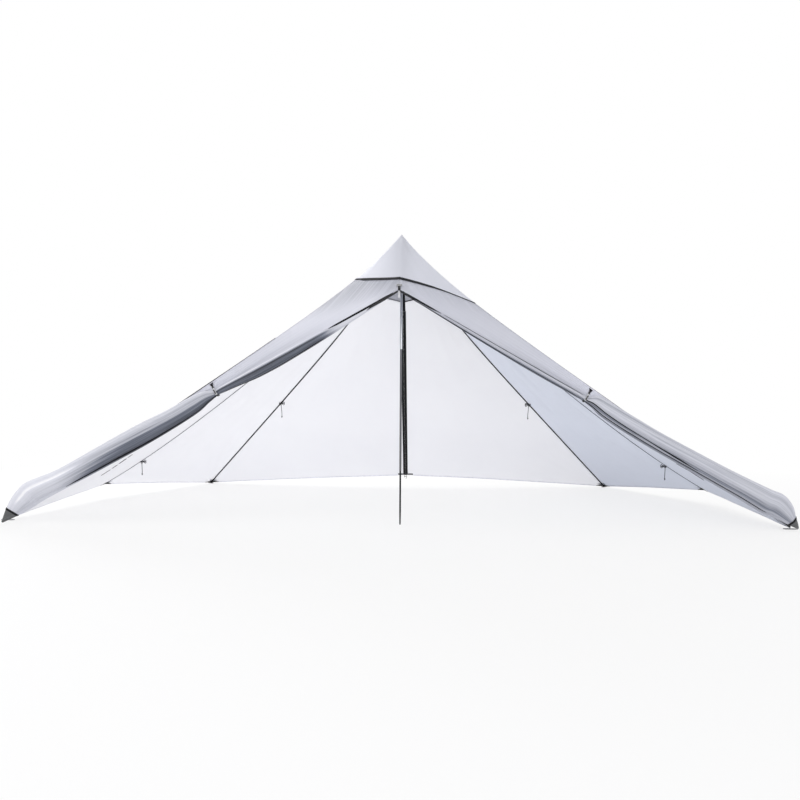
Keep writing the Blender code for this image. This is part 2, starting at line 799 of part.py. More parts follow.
def refine(values, times=3):
    """A smooth curve through the stations, by the Catmull-Rom rule, with times points to each step."""
    values = np.asarray(values, float)
    padded = np.concatenate([2 * values[:1] - values[1:2], values, 2 * values[-1:] - values[-2:-1]])
    out = []
    for index in range(len(values) - 1):
        a, b, c, d = padded[index : index + 4]
        for step in range(times):
            u = step / times
            bend = 2 * b + (c - a) * u + (2 * a - 5 * b + 4 * c - d) * u * u
            out.append(0.5 * (bend + (3 * b - a - 3 * c + d) * u**3))
    out.append(values[-1])
    return np.array(out)


def refine_runs(values):
    """The curve down to the pinch and the one below it, smoothed apart, since their steps differ."""
    upper, lower = refine(values[: PINCH_STATION + 1], 2), refine(values[PINCH_STATION:], 2)
    return np.concatenate([upper, lower[1:]])


def path_way(points):
    """Directions along a path, each between the places a turning reach before and after it."""
    run = np.append(0.0, np.cumsum(np.linalg.norm(np.diff(points, axis=0), axis=1)))
    before, after = np.clip(run - TURN_REACH, 0, run[-1]), np.clip(run + TURN_REACH, 0, run[-1])
    ways = [np.interp(after, run, line) - np.interp(before, run, line) for line in points.T]
    return unit(np.stack(ways, axis=1))


def roll_rings(ridge, swell):
    """Rings of the roll: an oval with the pleats of the gathered door running along it."""
    middles, tall, deep = [refine_runs(values) for values in roll_stations(ridge, swell)]
    count = len(middles)
    along = path_way(middles)
    up = np.array([0.0, 0.0, 1.0])
    first = unit(up - (along @ up)[:, None] * along)
    second = np.cross(along, first)
    turn = np.linspace(0, 2 * np.pi, ROLL_SIDES, endpoint=False)[None, :]
    way = np.linspace(0, 1, count)[:, None]
    pleat = PLEAT * (0.58 * np.cos(3 * turn + 3.5 * way) + 0.42 * np.cos(5 * turn - 4.0 * way + 1.0))
    size = 1 + pleat * np.clip(way * 6 - 0.6, 0, 1)
    x = (tall[:, None] * size * np.cos(turn))[..., None]
    y = (deep[:, None] * size * np.sin(turn))[..., None]
    return middles[:, None] + x * first[:, None] + y * second[:, None]


def make_doors():
    for side, swell in (("left", LEFT_ROLL), ("right", RIGHT_ROLL)):
        ridge = f"{side}_ridge"
        cloth(f"{side}_door_top", door_sheet_grid(ridge), "door")
        loft(f"{side}_door_roll", roll_rings(ridge, swell), "door", angle=50)


# Pole, cup and tip


def make_pole(inner_peak):
    middle_bore = MIDDLE_RADIUS - TUBE_WALL
    upper_bore = UPPER_RADIUS - TUBE_WALL
    lower_bore = LOWER_RADIUS - TUBE_WALL
    plug_ceiling = PLUG_TOP - PLUG_WALL
    plug_outer = UPPER_RADIUS + CLEARANCE + PLUG_WALL
    upper_top = plug_ceiling - CLEARANCE
    tube("pole_upper_tube", UPPER_FOOT, upper_top, UPPER_RADIUS, upper_bore, "silver_tube")
    middle_top = UPPER_FOOT + TUBE_OVERLAP
    tube("pole_middle_tube", MIDDLE_FOOT, middle_top, MIDDLE_RADIUS, middle_bore, "black_tube")
    lower_top = MIDDLE_FOOT + TUBE_OVERLAP
    tube("pole_lower_tube", TIP_LENGTH, lower_top, LOWER_RADIUS, lower_bore, "black_tube")
    expander("upper_expander", middle_top, middle_bore, upper_bore)
    expander("lower_expander", lower_top, lower_bore, middle_bore)
    spigot = lower_bore - CLEARANCE
    tip = [
        (0.0, TIP_LENGTH + TIP_SPIGOT),
        (spigot, TIP_LENGTH + TIP_SPIGOT),
        (spigot, TIP_LENGTH - CLEARANCE),
        (LOWER_RADIUS, TIP_LENGTH - CLEARANCE),
        (LOWER_RADIUS, TIP_LENGTH - 0.012),
        (TIP_END_RADIUS + 0.0003, 0.012),
        (TIP_END_RADIUS, 0.004),
        (TIP_FLAT_RADIUS, 0.0),
        (0.0, 0.0),
    ]
    turned("pole_tip", tip, "plastic")
    dome = PLUG_WALL * 2
    plug = [
        (plug_outer, PLUG_TOP - PLUG_HEIGHT),
        (UPPER_RADIUS + CLEARANCE, PLUG_TOP - PLUG_HEIGHT),
        (UPPER_RADIUS + CLEARANCE, plug_ceiling),
        (0.0, plug_ceiling),
    ]
    crown = [(0.0, PLUG_TOP), (plug_outer * 0.55, PLUG_TOP - dome * 0.12)]
    crown += [(plug_outer * 0.88, PLUG_TOP - dome * 0.45), (plug_outer, PLUG_TOP - dome)]
    turned("pole_top_plug", crown + plug, "plastic")
    make_cup(plug_outer, dome, inner_peak - CLEARANCE)


def make_cup(plug_outer, dome, point):
    """The pocket sewn under the peak: it fits over the plug and runs up to a point in the hood."""
    bore = plug_outer + CLEARANCE
    ceiling = PLUG_TOP + CLEARANCE
    outer = bore + CUP_WALL
    cup = [
        (0.0, point),
        (outer * 0.14, point - 0.006),
        (outer, ceiling - dome),
        (outer, PLUG_TOP - CUP_DEPTH),
        (bore, PLUG_TOP - CUP_DEPTH),
        (bore, ceiling - dome),
        (bore * 0.9, ceiling - dome * 0.45),
        (bore * 0.57, ceiling - dome * 0.12),
        (0.0, ceiling),
    ]
    turned("pole_cup", cup, "webbing")


def tube(name, low, high, radius, bore, finish):
    profile = [(radius, high), (radius, low), (bore, low), (bore, high)]
    return turned(name, profile, finish)


def expander(name, top, inner_bore, outer_bore):
    """A twist-lock's expanding head, on a spigot in the inner tube and sliding in the outer one."""
    spigot, head = inner_bore - CLEARANCE, outer_bore - CLEARANCE
    seat = top + CLEARANCE
    profile = [
        (0.0, seat + EXPANDER_HEAD),
        (head * 0.55, seat + EXPANDER_HEAD),
        (head, seat + EXPANDER_HEAD * 0.72),
        (head, seat + EXPANDER_HEAD * 0.30),
        (head * 0.8, seat),
        (spigot, seat),
        (spigot, seat - EXPANDER_SPIGOT),
        (0.0, seat - EXPANDER_SPIGOT),
    ]
    turned(name, profile, "plastic")


# Rear zip, in a frame on its foot: across, up along the zip, and inwards from the cloth


def slope_frame(seam, place_down, outside):
    """A matrix on a straight seam: X across, Y up along it, Z away from the cloth on the side asked for."""
    way = Vector(unit(PEAK - np.array(FEET[seam])))
    across = Vector((1.0, 0.0, 0.0))
    normal = across.cross(way)
    if (normal.z > 0) != outside:
        across = -across
        normal = -normal
    spot = Vector(chord_point(seam, place_down))
    if outside:
        spot = spot + normal * FABRIC
    frame = Matrix((across, way, normal)).transposed().to_4x4()
    frame.translation = spot
    return frame


TAPE_LOW = CLEARANCE
COIL_LOW = TAPE_LOW + ZIP_TAPE + CLEARANCE
COIL_TOP = COIL_LOW + COIL_HEIGHT
PLATE_LOW = COIL_TOP + CLEARANCE
PLATE_TOP = PLATE_LOW + SLIDER_PLATE
PIN_HEIGHT = PLATE_TOP + BRIDGE_ROOM / 2
ZIP_LENGTH = (1 - ZIP_TOP_PLACE) * seam_length("rear") - ZIP_TOP_STOP


def zip_strip(name, across, low, high, start, stop, finish, frame):
    """A straight strip along the zip between two places across, two heights and two ends."""
    size = (across[1] - across[0], stop - start, high - low)
    middle = Vector(((across[0] + across[1]) / 2, (start + stop) / 2, (low + high) / 2))
    return block(name, size, finish, frame @ Matrix.Translation(middle))


def coil_section():
    """Half-round coil seen along the zip, flat on the tapes."""
    points = [(-COIL_WIDTH / 2, COIL_LOW), (COIL_WIDTH / 2, COIL_LOW)]
    for step in range(7):
        turn = math.pi * step / 6
        points.append(
            (COIL_WIDTH / 2 * math.cos(turn), COIL_LOW + COIL_HEIGHT * (0.4 + 0.6 * math.sin(turn)))
        )
    return points


def extruded(name, section, start, stop, finish, frame):
    """A section (across, height) drawn along the zip from start to stop."""
    rings = []
    for y in (start, stop):
        rings.append([frame @ Vector((x, y, z)) for x, z in section])
    return loft(name, rings, finish)


def slider_section():
    """An upside-down channel that straddles the coil."""
    inner = COIL_WIDTH / 2 + CLEARANCE
    outer = inner + SLIDER_LEG
    return [
        (-outer, COIL_LOW),
        (-inner, COIL_LOW),
        (-inner, PLATE_LOW),
        (inner, PLATE_LOW),
        (inner, COIL_LOW),
        (outer, COIL_LOW),
        (outer, PLATE_TOP - 0.0004),
        (outer - 0.0006, PLATE_TOP),
        (-outer + 0.0006, PLATE_TOP),
        (-outer, PLATE_TOP - 0.0004),
    ]


def make_slider(name, frame, base):
    """The slider's channel with the bridge that holds the pull, joined into one body."""
    body = extruded(name, slider_section(), -SLIDER_LENGTH / 2, SLIDER_LENGTH / 2, "zip", Matrix.Identity(4))
    bar, half = BRIDGE_BAR, BRIDGE_SPAN / 2
    low, high = PLATE_TOP - SLIDER_PLATE / 2, PLATE_TOP + BRIDGE_ROOM
    outline = [(-half - bar, low), (-half, low), (-half, high - 0.0006), (-half + 0.0006, high)]
    outline += [(half - 0.0006, high), (half, high - 0.0006), (half, low), (half + bar, low)]
    outline += [(half + bar, high), (half, high + bar), (-half, high + bar), (-half - bar, high)]
    rings = []
    for x in (-BRIDGE_WIDTH / 2, BRIDGE_WIDTH / 2):
        rings.append([(x, y, z) for y, z in outline])
    bridge = loft(f"{name}_bridge_shape", rings, "zip")
    TENT.objects.unlink(bridge)
    CUTTERS.objects.link(bridge)
    bridge.hide_render = True
    bridge.display_type = "WIRE"
    join = body.modifiers.new("bridge", "BOOLEAN")
    join.operation = "UNION"
    join.solver = "EXACT"
    join.object = bridge
    spot = frame @ Matrix.Translation((0.0, base, 0.0))
    body.matrix_world = spot
    bridge.matrix_world = spot
    return spot @ Vector((0.0, 0.0, PIN_HEIGHT))


def make_pull(name, pin):
    """A flat pull hanging straight down from its pin, with the window that clears the bridge."""
    window_low = -(BRIDGE_SPAN / 2 + BRIDGE_BAR) * 1.08 - BRIDGE_ROOM / 2
    window_high = -PULL_THICK / 2
    window_half = BRIDGE_WIDTH / 2 + 2 * CLEARANCE
    middle = (PULL_THICK - PULL_LENGTH) / 2
    outline = [(x, y + middle) for x, y in rounded_outline(PULL_WIDTH, PULL_LENGTH, PULL_CORNER, 2)]
    window = [(-window_half, window_low), (window_half, window_low)]
    window += [(window_half, window_high), (-window_half, window_high)]
    upright = Matrix.Translation(pin) @ Matrix.Rotation(math.radians(90), 4, "X")
    return flat_plate(name, [outline, window], PULL_THICK, "puller", upright)


def make_rear_zip():
    frame = slope_frame("rear", 1.0, outside=False)
    side = 1.0 if frame.to_3x3().col[0].x > 0 else -1.0
    tape_high = TAPE_LOW + ZIP_TAPE
    for name, hand in (("left", -side), ("right", side)):
        across = sorted((hand * CLEARANCE, hand * (CLEARANCE + ZIP_TAPE_WIDTH)))
        zip_strip(f"rear_zip_{name}_tape", across, TAPE_LOW, tape_high, ZIP_FOOT, ZIP_LENGTH, "zip", frame)
    extruded("rear_zip_coil", coil_section(), ZIP_FOOT + 0.026, ZIP_LENGTH - 0.004, "zip", frame)
    pin = make_slider("rear_zip_slider", frame, SLIDER_REST)
    make_pull("rear_zip_pull", pin)
    strap_low = tape_high + CLEARANCE
    half = HEM_STRAP_LENGTH / 2
    strap_base = ZIP_FOOT + 0.002
    strap_end = strap_base + HEM_STRAP_WIDTH
    strap_high = strap_low + BINDING_THICK * 1.5
    zip_strip("rear_hem_strap", (-half, half), strap_low, strap_high, strap_base, strap_end, "webbing", frame)
    make_hook(frame, strap_base, strap_high)


def make_hook(frame, strap_base, strap_high):
    """A flat hook hanging straight down from the strap's edge: a ring at the top and an open foot."""
    eye = frame @ Vector((0.0, strap_base, strap_high))
    eye = eye + Vector((0.0, -HOOK_WIRE / 2 - CLEARANCE, 0.0))
    half, drop, bar = HOOK_WIDTH / 2, HOOK_DROP, HOOK_BAR
    outline = [(-half, 0.0), (half, 0.0), (half, -drop), (0.0, -drop), (0.0, -drop + bar)]
    outline += [(half - bar, -drop + bar), (half - bar, -drop * HOOK_ARM), (-half + bar, -drop * HOOK_ARM)]
    outline += [(-half + bar, -drop * HOOK_LIP), (-half, -drop * HOOK_LIP)]
    slot = rounded_outline(HOOK_WIDTH - 2 * bar, drop * HOOK_EYE, HOOK_WIRE / 2, 2)
    slot = [(x, y - bar - drop * HOOK_EYE / 2) for x, y in slot]
    upright = Matrix.Translation(eye) @ Matrix.Rotation(math.radians(90), 4, "X")
    return flat_plate("rear_hem_hook", [outline, slot], HOOK_WIRE, "plastic", upright)


# Front zip: its slider at the doorway's top, and the tape that shows below each door's edge


def make_front_zip():
    frame = slope_frame("front", DOORWAY_TOP, outside=False)
    frame.translation += frame.to_3x3() @ Vector((0.0, 0.0, FRONT_ZIP_SINK - COIL_LOW))
    pin = make_slider("front_zip_slider", frame, SLIDER_LENGTH / 2)
    make_pull("front_zip_pull", pin)
    for side, swell, reach in (("left", LEFT_ROLL, 0.36), ("right", RIGHT_ROLL, 0.30)):
        ridge = f"{side}_ridge"
        share = np.linspace(0.04, reach, 8)
        t = DOORWAY_TOP + share * (tie_place(ridge) - DOORWAY_TOP)
        radius = roll_radius(share, swell)
        edge = door_edge(ridge, t) - (radius + CLEARANCE)[:, None] * sheet_normal(ridge)
        down = np.array([0.0, 0.0, -1.0])
        forward = np.array([0.0, -1.0, 0.0])
        top = edge + (radius * FRONT_TAPE_DROP + CLEARANCE)[:, None] * down
        low = top + ZIP_TAPE_WIDTH * np.linspace(1.0, FRONT_TAPE_TAPER, 8)[:, None] * down
        ring = [top, low, low + ZIP_TAPE * forward, top + ZIP_TAPE * forward]
        loft(f"front_zip_{side}_tape", np.stack(ring, axis=1), "zip")


# Tie-backs: a strap round the pinched roll, a toggle on it and the loop that holds the toggle


def make_tie_backs():
    for side, swell in (("left", LEFT_ROLL), ("right", RIGHT_ROLL)):
        ridge = f"{side}_ridge"
        middles = roll_stations(ridge, swell)[0]
        throat = PINCH_STATION + 1
        middle = middles[throat]
        along = unit(middles[throat + 1] - middles[throat - 1])
        place_down = (TIE_REACH + THROAT / 2) / seam_length(ridge)
        here, sides = seam_frame(ridge, [place_down])
        hook_up = level(here, sides, INSIDE)[0] - middle
        hook_up = hook_up - (hook_up @ along) * along
        up, reach = unit(hook_up), np.linalg.norm(hook_up)
        front = np.cross(along, up)
        front = front if front[1] < 0 else -front
        outer_radius = PINCH * (1 + PLEAT) + STRAP_ROOM + STRAP_THICK
        outer = teardrop(outer_radius, reach, up, front)
        inner = outer * (1 - STRAP_THICK / outer_radius)
        half = STRAP_WIDTH / 2 * along
        band = np.stack([inner - half, outer - half, outer + half, inner + half], axis=1) + middle
        loft(f"{side}_tie_strap", band, "webbing", closed_way=True)
        make_toggle(side, middle + outer_radius * front, up, front, along)


def teardrop(radius, reach, up, front):
    """A loop round a circle of the radius, drawn to a point that is the reach away on the upper side."""
    lean = math.acos(radius / reach)
    turn = np.linspace(-np.pi, np.pi, 2 * STRAP_SIDES, endpoint=False)
    size = radius / np.cos(np.maximum(0, lean - np.abs(turn)))
    return (size * np.cos(turn))[:, None] * up + (size * np.sin(turn))[:, None] * front


def make_toggle(side, spot, up, front, along):
    """The toggle hangs on the strap's front, and turns about the way that it faces."""
    centre = spot + (TOGGLE_RADIUS + CLEARANCE) * front
    profile = [(-0.5, 0.70), (-0.42, 1.0), (-0.12, 0.86), (0.12, 0.86), (0.42, 1.0), (0.5, 0.70)]
    turn = 2 * np.pi * np.arange(TOGGLE_SIDES) / TOGGLE_SIDES
    spokes = np.cos(turn)[:, None] * front + np.sin(turn)[:, None] * along
    rings = []
    for place_up, size in profile:
        rings.append(centre + place_up * TOGGLE_LENGTH * up + size * TOGGLE_RADIUS * spokes)
    loft(f"{side}_toggle", rings, "toggle")


# Tie cords


def curve_tube(name, points, radii, finish):
    curve = bpy.data.curves.new(name, "CURVE")
    curve.dimensions = "3D"
    curve.bevel_depth = 1.0
    curve.bevel_resolution = 2
    curve.use_fill_caps = True
    curve.render_resolution_u = 0
    spline = curve.splines.new("POLY")
    spline.points.add(len(points) - 1)
    for point, spot, radius in zip(spline.points, points, radii):
        point.co = (*spot, 1.0)
        point.radius = radius
    return place(name, curve, finish)


def make_cord(name, seam, place_down, length, sway):
    """A short cord hanging from a bead on the inside of a seam, with a knot at its end."""
    here, sides = seam_frame(seam, [place_down])
    start = level(here, sides, INSIDE_BINDING - CLEARANCE - BEAD_SEAT * BEAD_RADIUS)[0]
    drop = np.linspace(0, 1, 17)
    points = start + np.stack(
        [sway * np.sin(drop * 2.4) * drop, 0 * drop, BEAD_RADIUS * 0.4 - drop * length], axis=1
    )
    bead = np.exp(-((drop * length / BEAD_RADIUS - 0.6) ** 2))
    knot = np.exp(-(((1 - drop) * length / KNOT_RADIUS - 1.3) ** 2))
    radii = CORD_RADIUS + (BEAD_HALF - CORD_RADIUS) * bead + (KNOT_RADIUS - CORD_RADIUS) * knot
    curve_tube(name, points, radii, "cord")


def make_cords():
    make_cord("rear_left_tie_cord", "left_corner", CORNER_CORD_PLACE, CORNER_CORD_LENGTH, CORD_SWAY)
    make_cord("rear_right_tie_cord", "right_corner", CORNER_CORD_PLACE, CORNER_CORD_LENGTH, -CORD_SWAY)
    make_cord("side_left_tie_cord", "left_side", SIDE_CORD_PLACE, SIDE_CORD_LENGTH, CORD_SWAY * 0.5)
    make_cord("side_right_tie_cord", "right_side", SIDE_CORD_PLACE, SIDE_CORD_LENGTH, -CORD_SWAY * 0.5)


clear_scene()
TENT = new_collection("pyramid_tent")
CUTTERS = new_collection("cutters")
make_panels()
make_bindings()
make_corners()
INNER_PEAK = make_hood()
make_doors()
make_pole(INNER_PEAK)
make_rear_zip()
make_front_zip()
make_tie_backs()
make_cords()
bpy.context.view_layer.update()
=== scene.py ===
"""A single-pole pyramid tent, pitched, its two front doors rolled back along the front ridges.

The camera and the studio come first. After them the sections follow the tent as it is put together:
canopy panels, seams, corners, hood, doors, tie-backs, pole, zips and tie cords.
"""

import math

import bmesh
import bpy
import numpy as np
from mathutils import Matrix, Vector


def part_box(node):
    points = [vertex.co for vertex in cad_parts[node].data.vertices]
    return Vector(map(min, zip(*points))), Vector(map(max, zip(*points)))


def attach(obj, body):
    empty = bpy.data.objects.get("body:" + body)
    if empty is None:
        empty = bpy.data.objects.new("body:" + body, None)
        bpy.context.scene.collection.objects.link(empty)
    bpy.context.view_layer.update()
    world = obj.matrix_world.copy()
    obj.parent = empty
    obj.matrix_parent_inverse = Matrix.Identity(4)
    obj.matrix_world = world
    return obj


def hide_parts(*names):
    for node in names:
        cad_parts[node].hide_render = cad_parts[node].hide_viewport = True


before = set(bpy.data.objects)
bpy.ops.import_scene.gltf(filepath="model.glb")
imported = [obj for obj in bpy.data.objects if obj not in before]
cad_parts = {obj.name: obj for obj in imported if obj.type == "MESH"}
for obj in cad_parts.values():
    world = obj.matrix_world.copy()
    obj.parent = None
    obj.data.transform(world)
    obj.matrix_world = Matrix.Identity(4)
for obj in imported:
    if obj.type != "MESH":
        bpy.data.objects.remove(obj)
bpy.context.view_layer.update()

# The camera stands 2.9 m in front of the pole and 0.59 m above the ground, and looks level and a little to the
# left. Its sensor is 36 mm wide, and the small shifts put the horizon and the pole where the picture has them.

CAMERA_PLACE = (0.081, -2.899, 0.59)
CAMERA_TURN = math.radians(1.6)
CAMERA_ROLL = math.radians(0.36)
camera = bpy.data.objects.new("camera", bpy.data.cameras.new("camera"))
bpy.context.scene.collection.objects.link(camera)
camera.matrix_world = (
    Matrix.Translation(CAMERA_PLACE)
    @ Matrix.Rotation(CAMERA_TURN, 4, "Z")
    @ Matrix.Rotation(math.pi / 2, 4, "X")
    @ Matrix.Rotation(CAMERA_ROLL, 4, "Z")
)
camera.data.lens = 26.0
camera.data.sensor_width = 36.0
camera.data.shift_x = -0.0009
camera.data.shift_y = 0.00875
camera.data.clip_end = 200
bpy.context.scene.camera = camera
bpy.context.scene.view_settings.view_transform = "Standard"


# The studio: a white floor that keeps a soft shadow, a white surround, a broad lamp high on the left, a
# weaker one in front, and a strong one behind, which lights the cloth from outside.


class Value:
    """A shader value: each operator on it adds the Math node that it stands for."""

    def __init__(self, finish, socket):
        self.finish = finish
        self.socket = socket

    def math(self, operation, *others):
        return self.finish.node("Math", {"operation": operation}, dict(enumerate((self, *others))))

    def __add__(self, other):
        return self.math("ADD", other)

    def __mul__(self, other):
        return self.math("MULTIPLY", other)

    def __sub__(self, other):
        return self.math("SUBTRACT", other)

    def __truediv__(self, other):
        return self.math("DIVIDE", other)

    def __rsub__(self, other):
        return self * -1.0 + other

    def clamp(self):
        return self.math("MAXIMUM", 0.0).math("MINIMUM", 1.0)

    def ribs(self, pitch):
        """A sine wave along the value, one rib to each pitch in metres."""
        return (self * (2 * math.pi / pitch)).math("SINE")

    __radd__ = __add__
    __rmul__ = __mul__


class Finish:
    """A material or the surround, with the methods that add nodes to it and set its sockets."""

    def __init__(self, name, owner=None):
        self.owner = owner or bpy.data.materials.new(name)
        self.owner.use_nodes = True
        self.tree = self.owner.node_tree
        self.shader = self.tree.nodes.get("Principled BSDF")
        self.output = next(node for node in self.tree.nodes if "Output" in node.bl_idname)

    def feed(self, node, sockets):
        for key, given in sockets.items():
            socket = node.inputs[key]
            if isinstance(given, Value):
                self.tree.links.new(given.socket, socket)
            elif hasattr(socket.default_value, "__len__") and len(given) < len(socket.default_value):
                socket.default_value = (*given, 1.0)
            else:
                socket.default_value = given

    def node(self, kind, settings=None, sockets=None, out=0):
        """Adds a node of that kind, with its settings and then its sockets, and gives one output."""
        made = self.tree.nodes.new("ShaderNode" + kind)
        for key, given in (settings or {}).items():
            setattr(made, key, given)
        self.feed(made, sockets or {})
        return Value(self, made.outputs[out])

    def set(self, **sockets):
        self.feed(self.shader, {key.replace("_", " "): given for key, given in sockets.items()})
        return self

    def mix(self, share, first, second):
        """A colour between two colours."""
        return self.node("Mix", {"data_type": "RGBA"}, {0: share, 6: first, 7: second}, out=2)

    def noise(self, vector, scale, detail=3.0, roughness=0.5):
        sockets = {"Vector": vector, "Scale": scale, "Detail": detail, "Roughness": roughness}
        return self.node("TexNoise", sockets=sockets)

    def place(self):
        return self.node("TexCoord", out="Object")

    def along(self, vector, axis):
        return self.node("SeparateXYZ", sockets={"Vector": vector}, out=axis)

    def uv(self):
        """The two UV values, in metres, and the UV vector."""
        vector = self.node("TexCoord", out="UV")
        return self.along(vector, "X"), self.along(vector, "Y"), vector

    def stretched(self, vector, x, y, z=1.0):
        return self.node("VectorMath", {"operation": "MULTIPLY"}, {0: vector, 1: (x, y, z)})

    def bump(self, height, strength=1.0, **normal):
        """A bump whose height is in metres."""
        sockets = {"Height": height, "Distance": 1.0, "Strength": strength, **normal}
        return self.node("Bump", sockets=sockets, out="Normal")

    def seen(self):
        """1 for the camera's own rays, mirrored rays and rays through glass."""
        rays = [self.node("LightPath", out=f"Is {kind} Ray") for kind in ("Camera", "Glossy", "Transmission")]
        return rays[0].math("MAXIMUM", rays[1]).math("MAXIMUM", rays[2])


surround = Finish("surround", bpy.context.scene.world or bpy.data.worlds.new("surround"))
bpy.context.scene.world = surround.owner
backdrop = next(node for node in surround.tree.nodes if node.bl_idname == "ShaderNodeBackground")
SKY_LEVEL = 0.62
surround.feed(backdrop, {"Color": (1.0, 1.0, 1.0), "Strength": surround.seen() * (1 - SKY_LEVEL) + SKY_LEVEL})

FLOOR_HALF, FLOOR_LEVEL = 40.0, -0.001
FLOOR_SHADOW, SHADOW_REACH = 0.27, 2.2
floor_mesh = bpy.data.meshes.new("floor")
FLOOR_CORNERS = ((-1, -1), (1, -1), (1, 1), (-1, 1))
floor_mesh.from_pydata([(x * FLOOR_HALF, y * FLOOR_HALF, FLOOR_LEVEL) for x, y in FLOOR_CORNERS], [],
                       [(0, 1, 2, 3)])
floor = bpy.data.objects.new("floor", floor_mesh)
bpy.context.scene.collection.objects.link(floor)
floor_finish = Finish("floor_white").set(Base_Color=(0.86, 0.86, 0.87), Roughness=0.9)
floor_glow = floor_finish.node("Emission", sockets={"Color": (1.0, 1.0, 1.0), "Strength": 1.0})
floor_far = floor_finish.node("VectorMath", {"operation": "LENGTH"}, {0: floor_finish.place()}, out="Value")
floor_far = ((floor_far - SHADOW_REACH) / SHADOW_REACH).clamp()
floor_share = floor_finish.seen() * (floor_far * FLOOR_SHADOW + (1 - FLOOR_SHADOW))
floor_paint = Value(floor_finish, floor_finish.shader.outputs[0])
floor_mixed = floor_finish.node("MixShader", sockets={0: floor_share, 1: floor_paint, 2: floor_glow})
floor_finish.feed(floor_finish.output, {"Surface": floor_mixed})
floor_mesh.materials.append(floor_finish.owner)


def lamp(name, place, target, size, power, colour):
    """A square area lamp at a place, turned to its target."""
    light = bpy.data.lights.new(name, "AREA")
    light.size = size
    light.energy = power
    light.color = colour
    made = bpy.data.objects.new(name, light)
    made.location = place
    made.rotation_euler = (Vector(target) - Vector(place)).to_track_quat("-Z", "Y").to_euler()
    bpy.context.scene.collection.objects.link(made)


lamp("lamp_high_left", (-5.5, -2.0, 6.0), (-0.3, 0.6, 0.6), 4.0, 180, (1.0, 0.99, 0.98))
lamp("lamp_front", (2.8, -7.0, 3.0), (-0.1, 0.6, 0.6), 4.0, 166, (0.98, 0.99, 1.0))
lamp("lamp_behind", (-2.6, 7.0, 4.6), (-0.1, 0.9, 0.7), 4.5, 400, (1.0, 1.0, 0.99))


# The canopy: six panels of thin coated cloth between the ridges, the side seams, the rear corners and the
# rear zip, all cut on a curve so that each seam sags and flares out to the peak. They are pegged taut.

PEAK = np.array([0.0, 0.0, 1.45])
# the lines that run down from the peak, round the tent
ROUND = ("left_ridge", "left_side", "left_corner", "rear", "right_corner", "right_side", "right_ridge",
         "front")
FEET = dict(zip(ROUND, np.array([
    (-2.01, 0.0, 0.0033), (-1.914141, 0.74, 0.086), (-1.495, 1.49, 0.0033), (0.0, 1.40471, 0.083),
    (1.495, 1.49, 0.0033), (1.871859, 0.74, 0.086), (1.926, 0.0, 0.0033), (0.0, -1.45, 0.083),
])))
SAGS = {"ridge": 0.052, "side": 0.085, "corner": 0.087, "rear": 0.0, "front": 0.0}
PANELS = dict(zip(("left_front_side_panel", "left_side_panel", "rear_left_panel", "rear_right_panel",
                   "right_side_panel", "right_front_side_panel"), zip(ROUND, ROUND[1:])))
TOP_RING, FABRIC, ZIP_TOP_PLACE = 0.03, 0.0010, 0.2167


def unit(vectors):
    vectors = np.asarray(vectors, float)
    return vectors / np.maximum(np.linalg.norm(vectors, axis=-1, keepdims=True), 1e-12)


def ease(value, start, stop):
    """0 before start, 1 past stop, and a smooth step 3x^2 - 2x^3 between."""
    x = np.clip((value - start) / (stop - start), 0, 1)
    return x * x * (3 - 2 * x)


def sag_share(t, fullness):
    """(1 - exp(-t / 0.12)) (1 - t^fullness), scaled to a height of 1, and straight inside the top ring."""
    shape = lambda x: (1 - np.exp(-x / 0.12)) * (1 - x**fullness)
    peak = shape(np.linspace(0, 1, 400)).max()
    return np.where(t < TOP_RING, shape(TOP_RING) * t / TOP_RING, shape(np.maximum(t, TOP_RING))) / peak


def chord_point(seam, t):
    return PEAK + np.asarray(t, float)[..., None] * (FEET[seam] - PEAK)


def sag_offset(seam, t):
    """The sag of a seam square to its chord, inwards and down, in the upright plane that holds it."""
    foot = FEET[seam] - PEAK
    reach = np.hypot(*foot[:2])
    inward = np.array([foot[0] * foot[2], foot[1] * foot[2], -reach * reach]) / (reach * np.linalg.norm(foot))
    kind = seam.split("_")[-1]
    return (SAGS[kind] * sag_share(t, 4 if kind == "side" else 1))[..., None] * inward


def seam_point(seam, t):
    return chord_point(seam, t) + sag_offset(seam, t)


def seam_length(seam):
    return float(np.linalg.norm(FEET[seam] - PEAK))


def surface_point(first, second, s, t):
    """The cloth between two seams, at share s across and t down: chords mixed by s, and each seam's sag
    faded by its own share, squared beside the flat rear zip."""
    s, t = np.broadcast_arrays(s, t)
    flat = (1 - s)[..., None] * chord_point(first, t) + s[..., None] * chord_point(second, t)
    near, far = (1 - s) ** (2 if second == "rear" else 1), s ** (2 if first == "rear" else 1)
    return flat + near[..., None] * sag_offset(first, t) + far[..., None] * sag_offset(second, t)


def normals(points):
    """Unit normals of a grid: the cross product of its steps across and down."""
    down, across = np.gradient(points, axis=0), np.gradient(points, axis=1)
    return unit(np.cross(across, down))


def run_length(points):
    """The running length along a line of points, or down each column of a grid."""
    steps = np.linalg.norm(np.diff(points, axis=0), axis=-1)
    return np.concatenate([0 * steps[:1], np.cumsum(steps, axis=0)])


def paired(across, down):
    """A grid of UV pairs in metres."""
    return np.stack(np.broadcast_arrays(across, down), axis=-1)


def grid_lengths(points):
    """UV in metres: the running length across each row from its middle, and down the middle column."""
    u = run_length(points.swapaxes(0, 1)).T
    return paired(u - u[:, -1:] / 2, run_length(points[:, points.shape[1] // 2])[:, None])


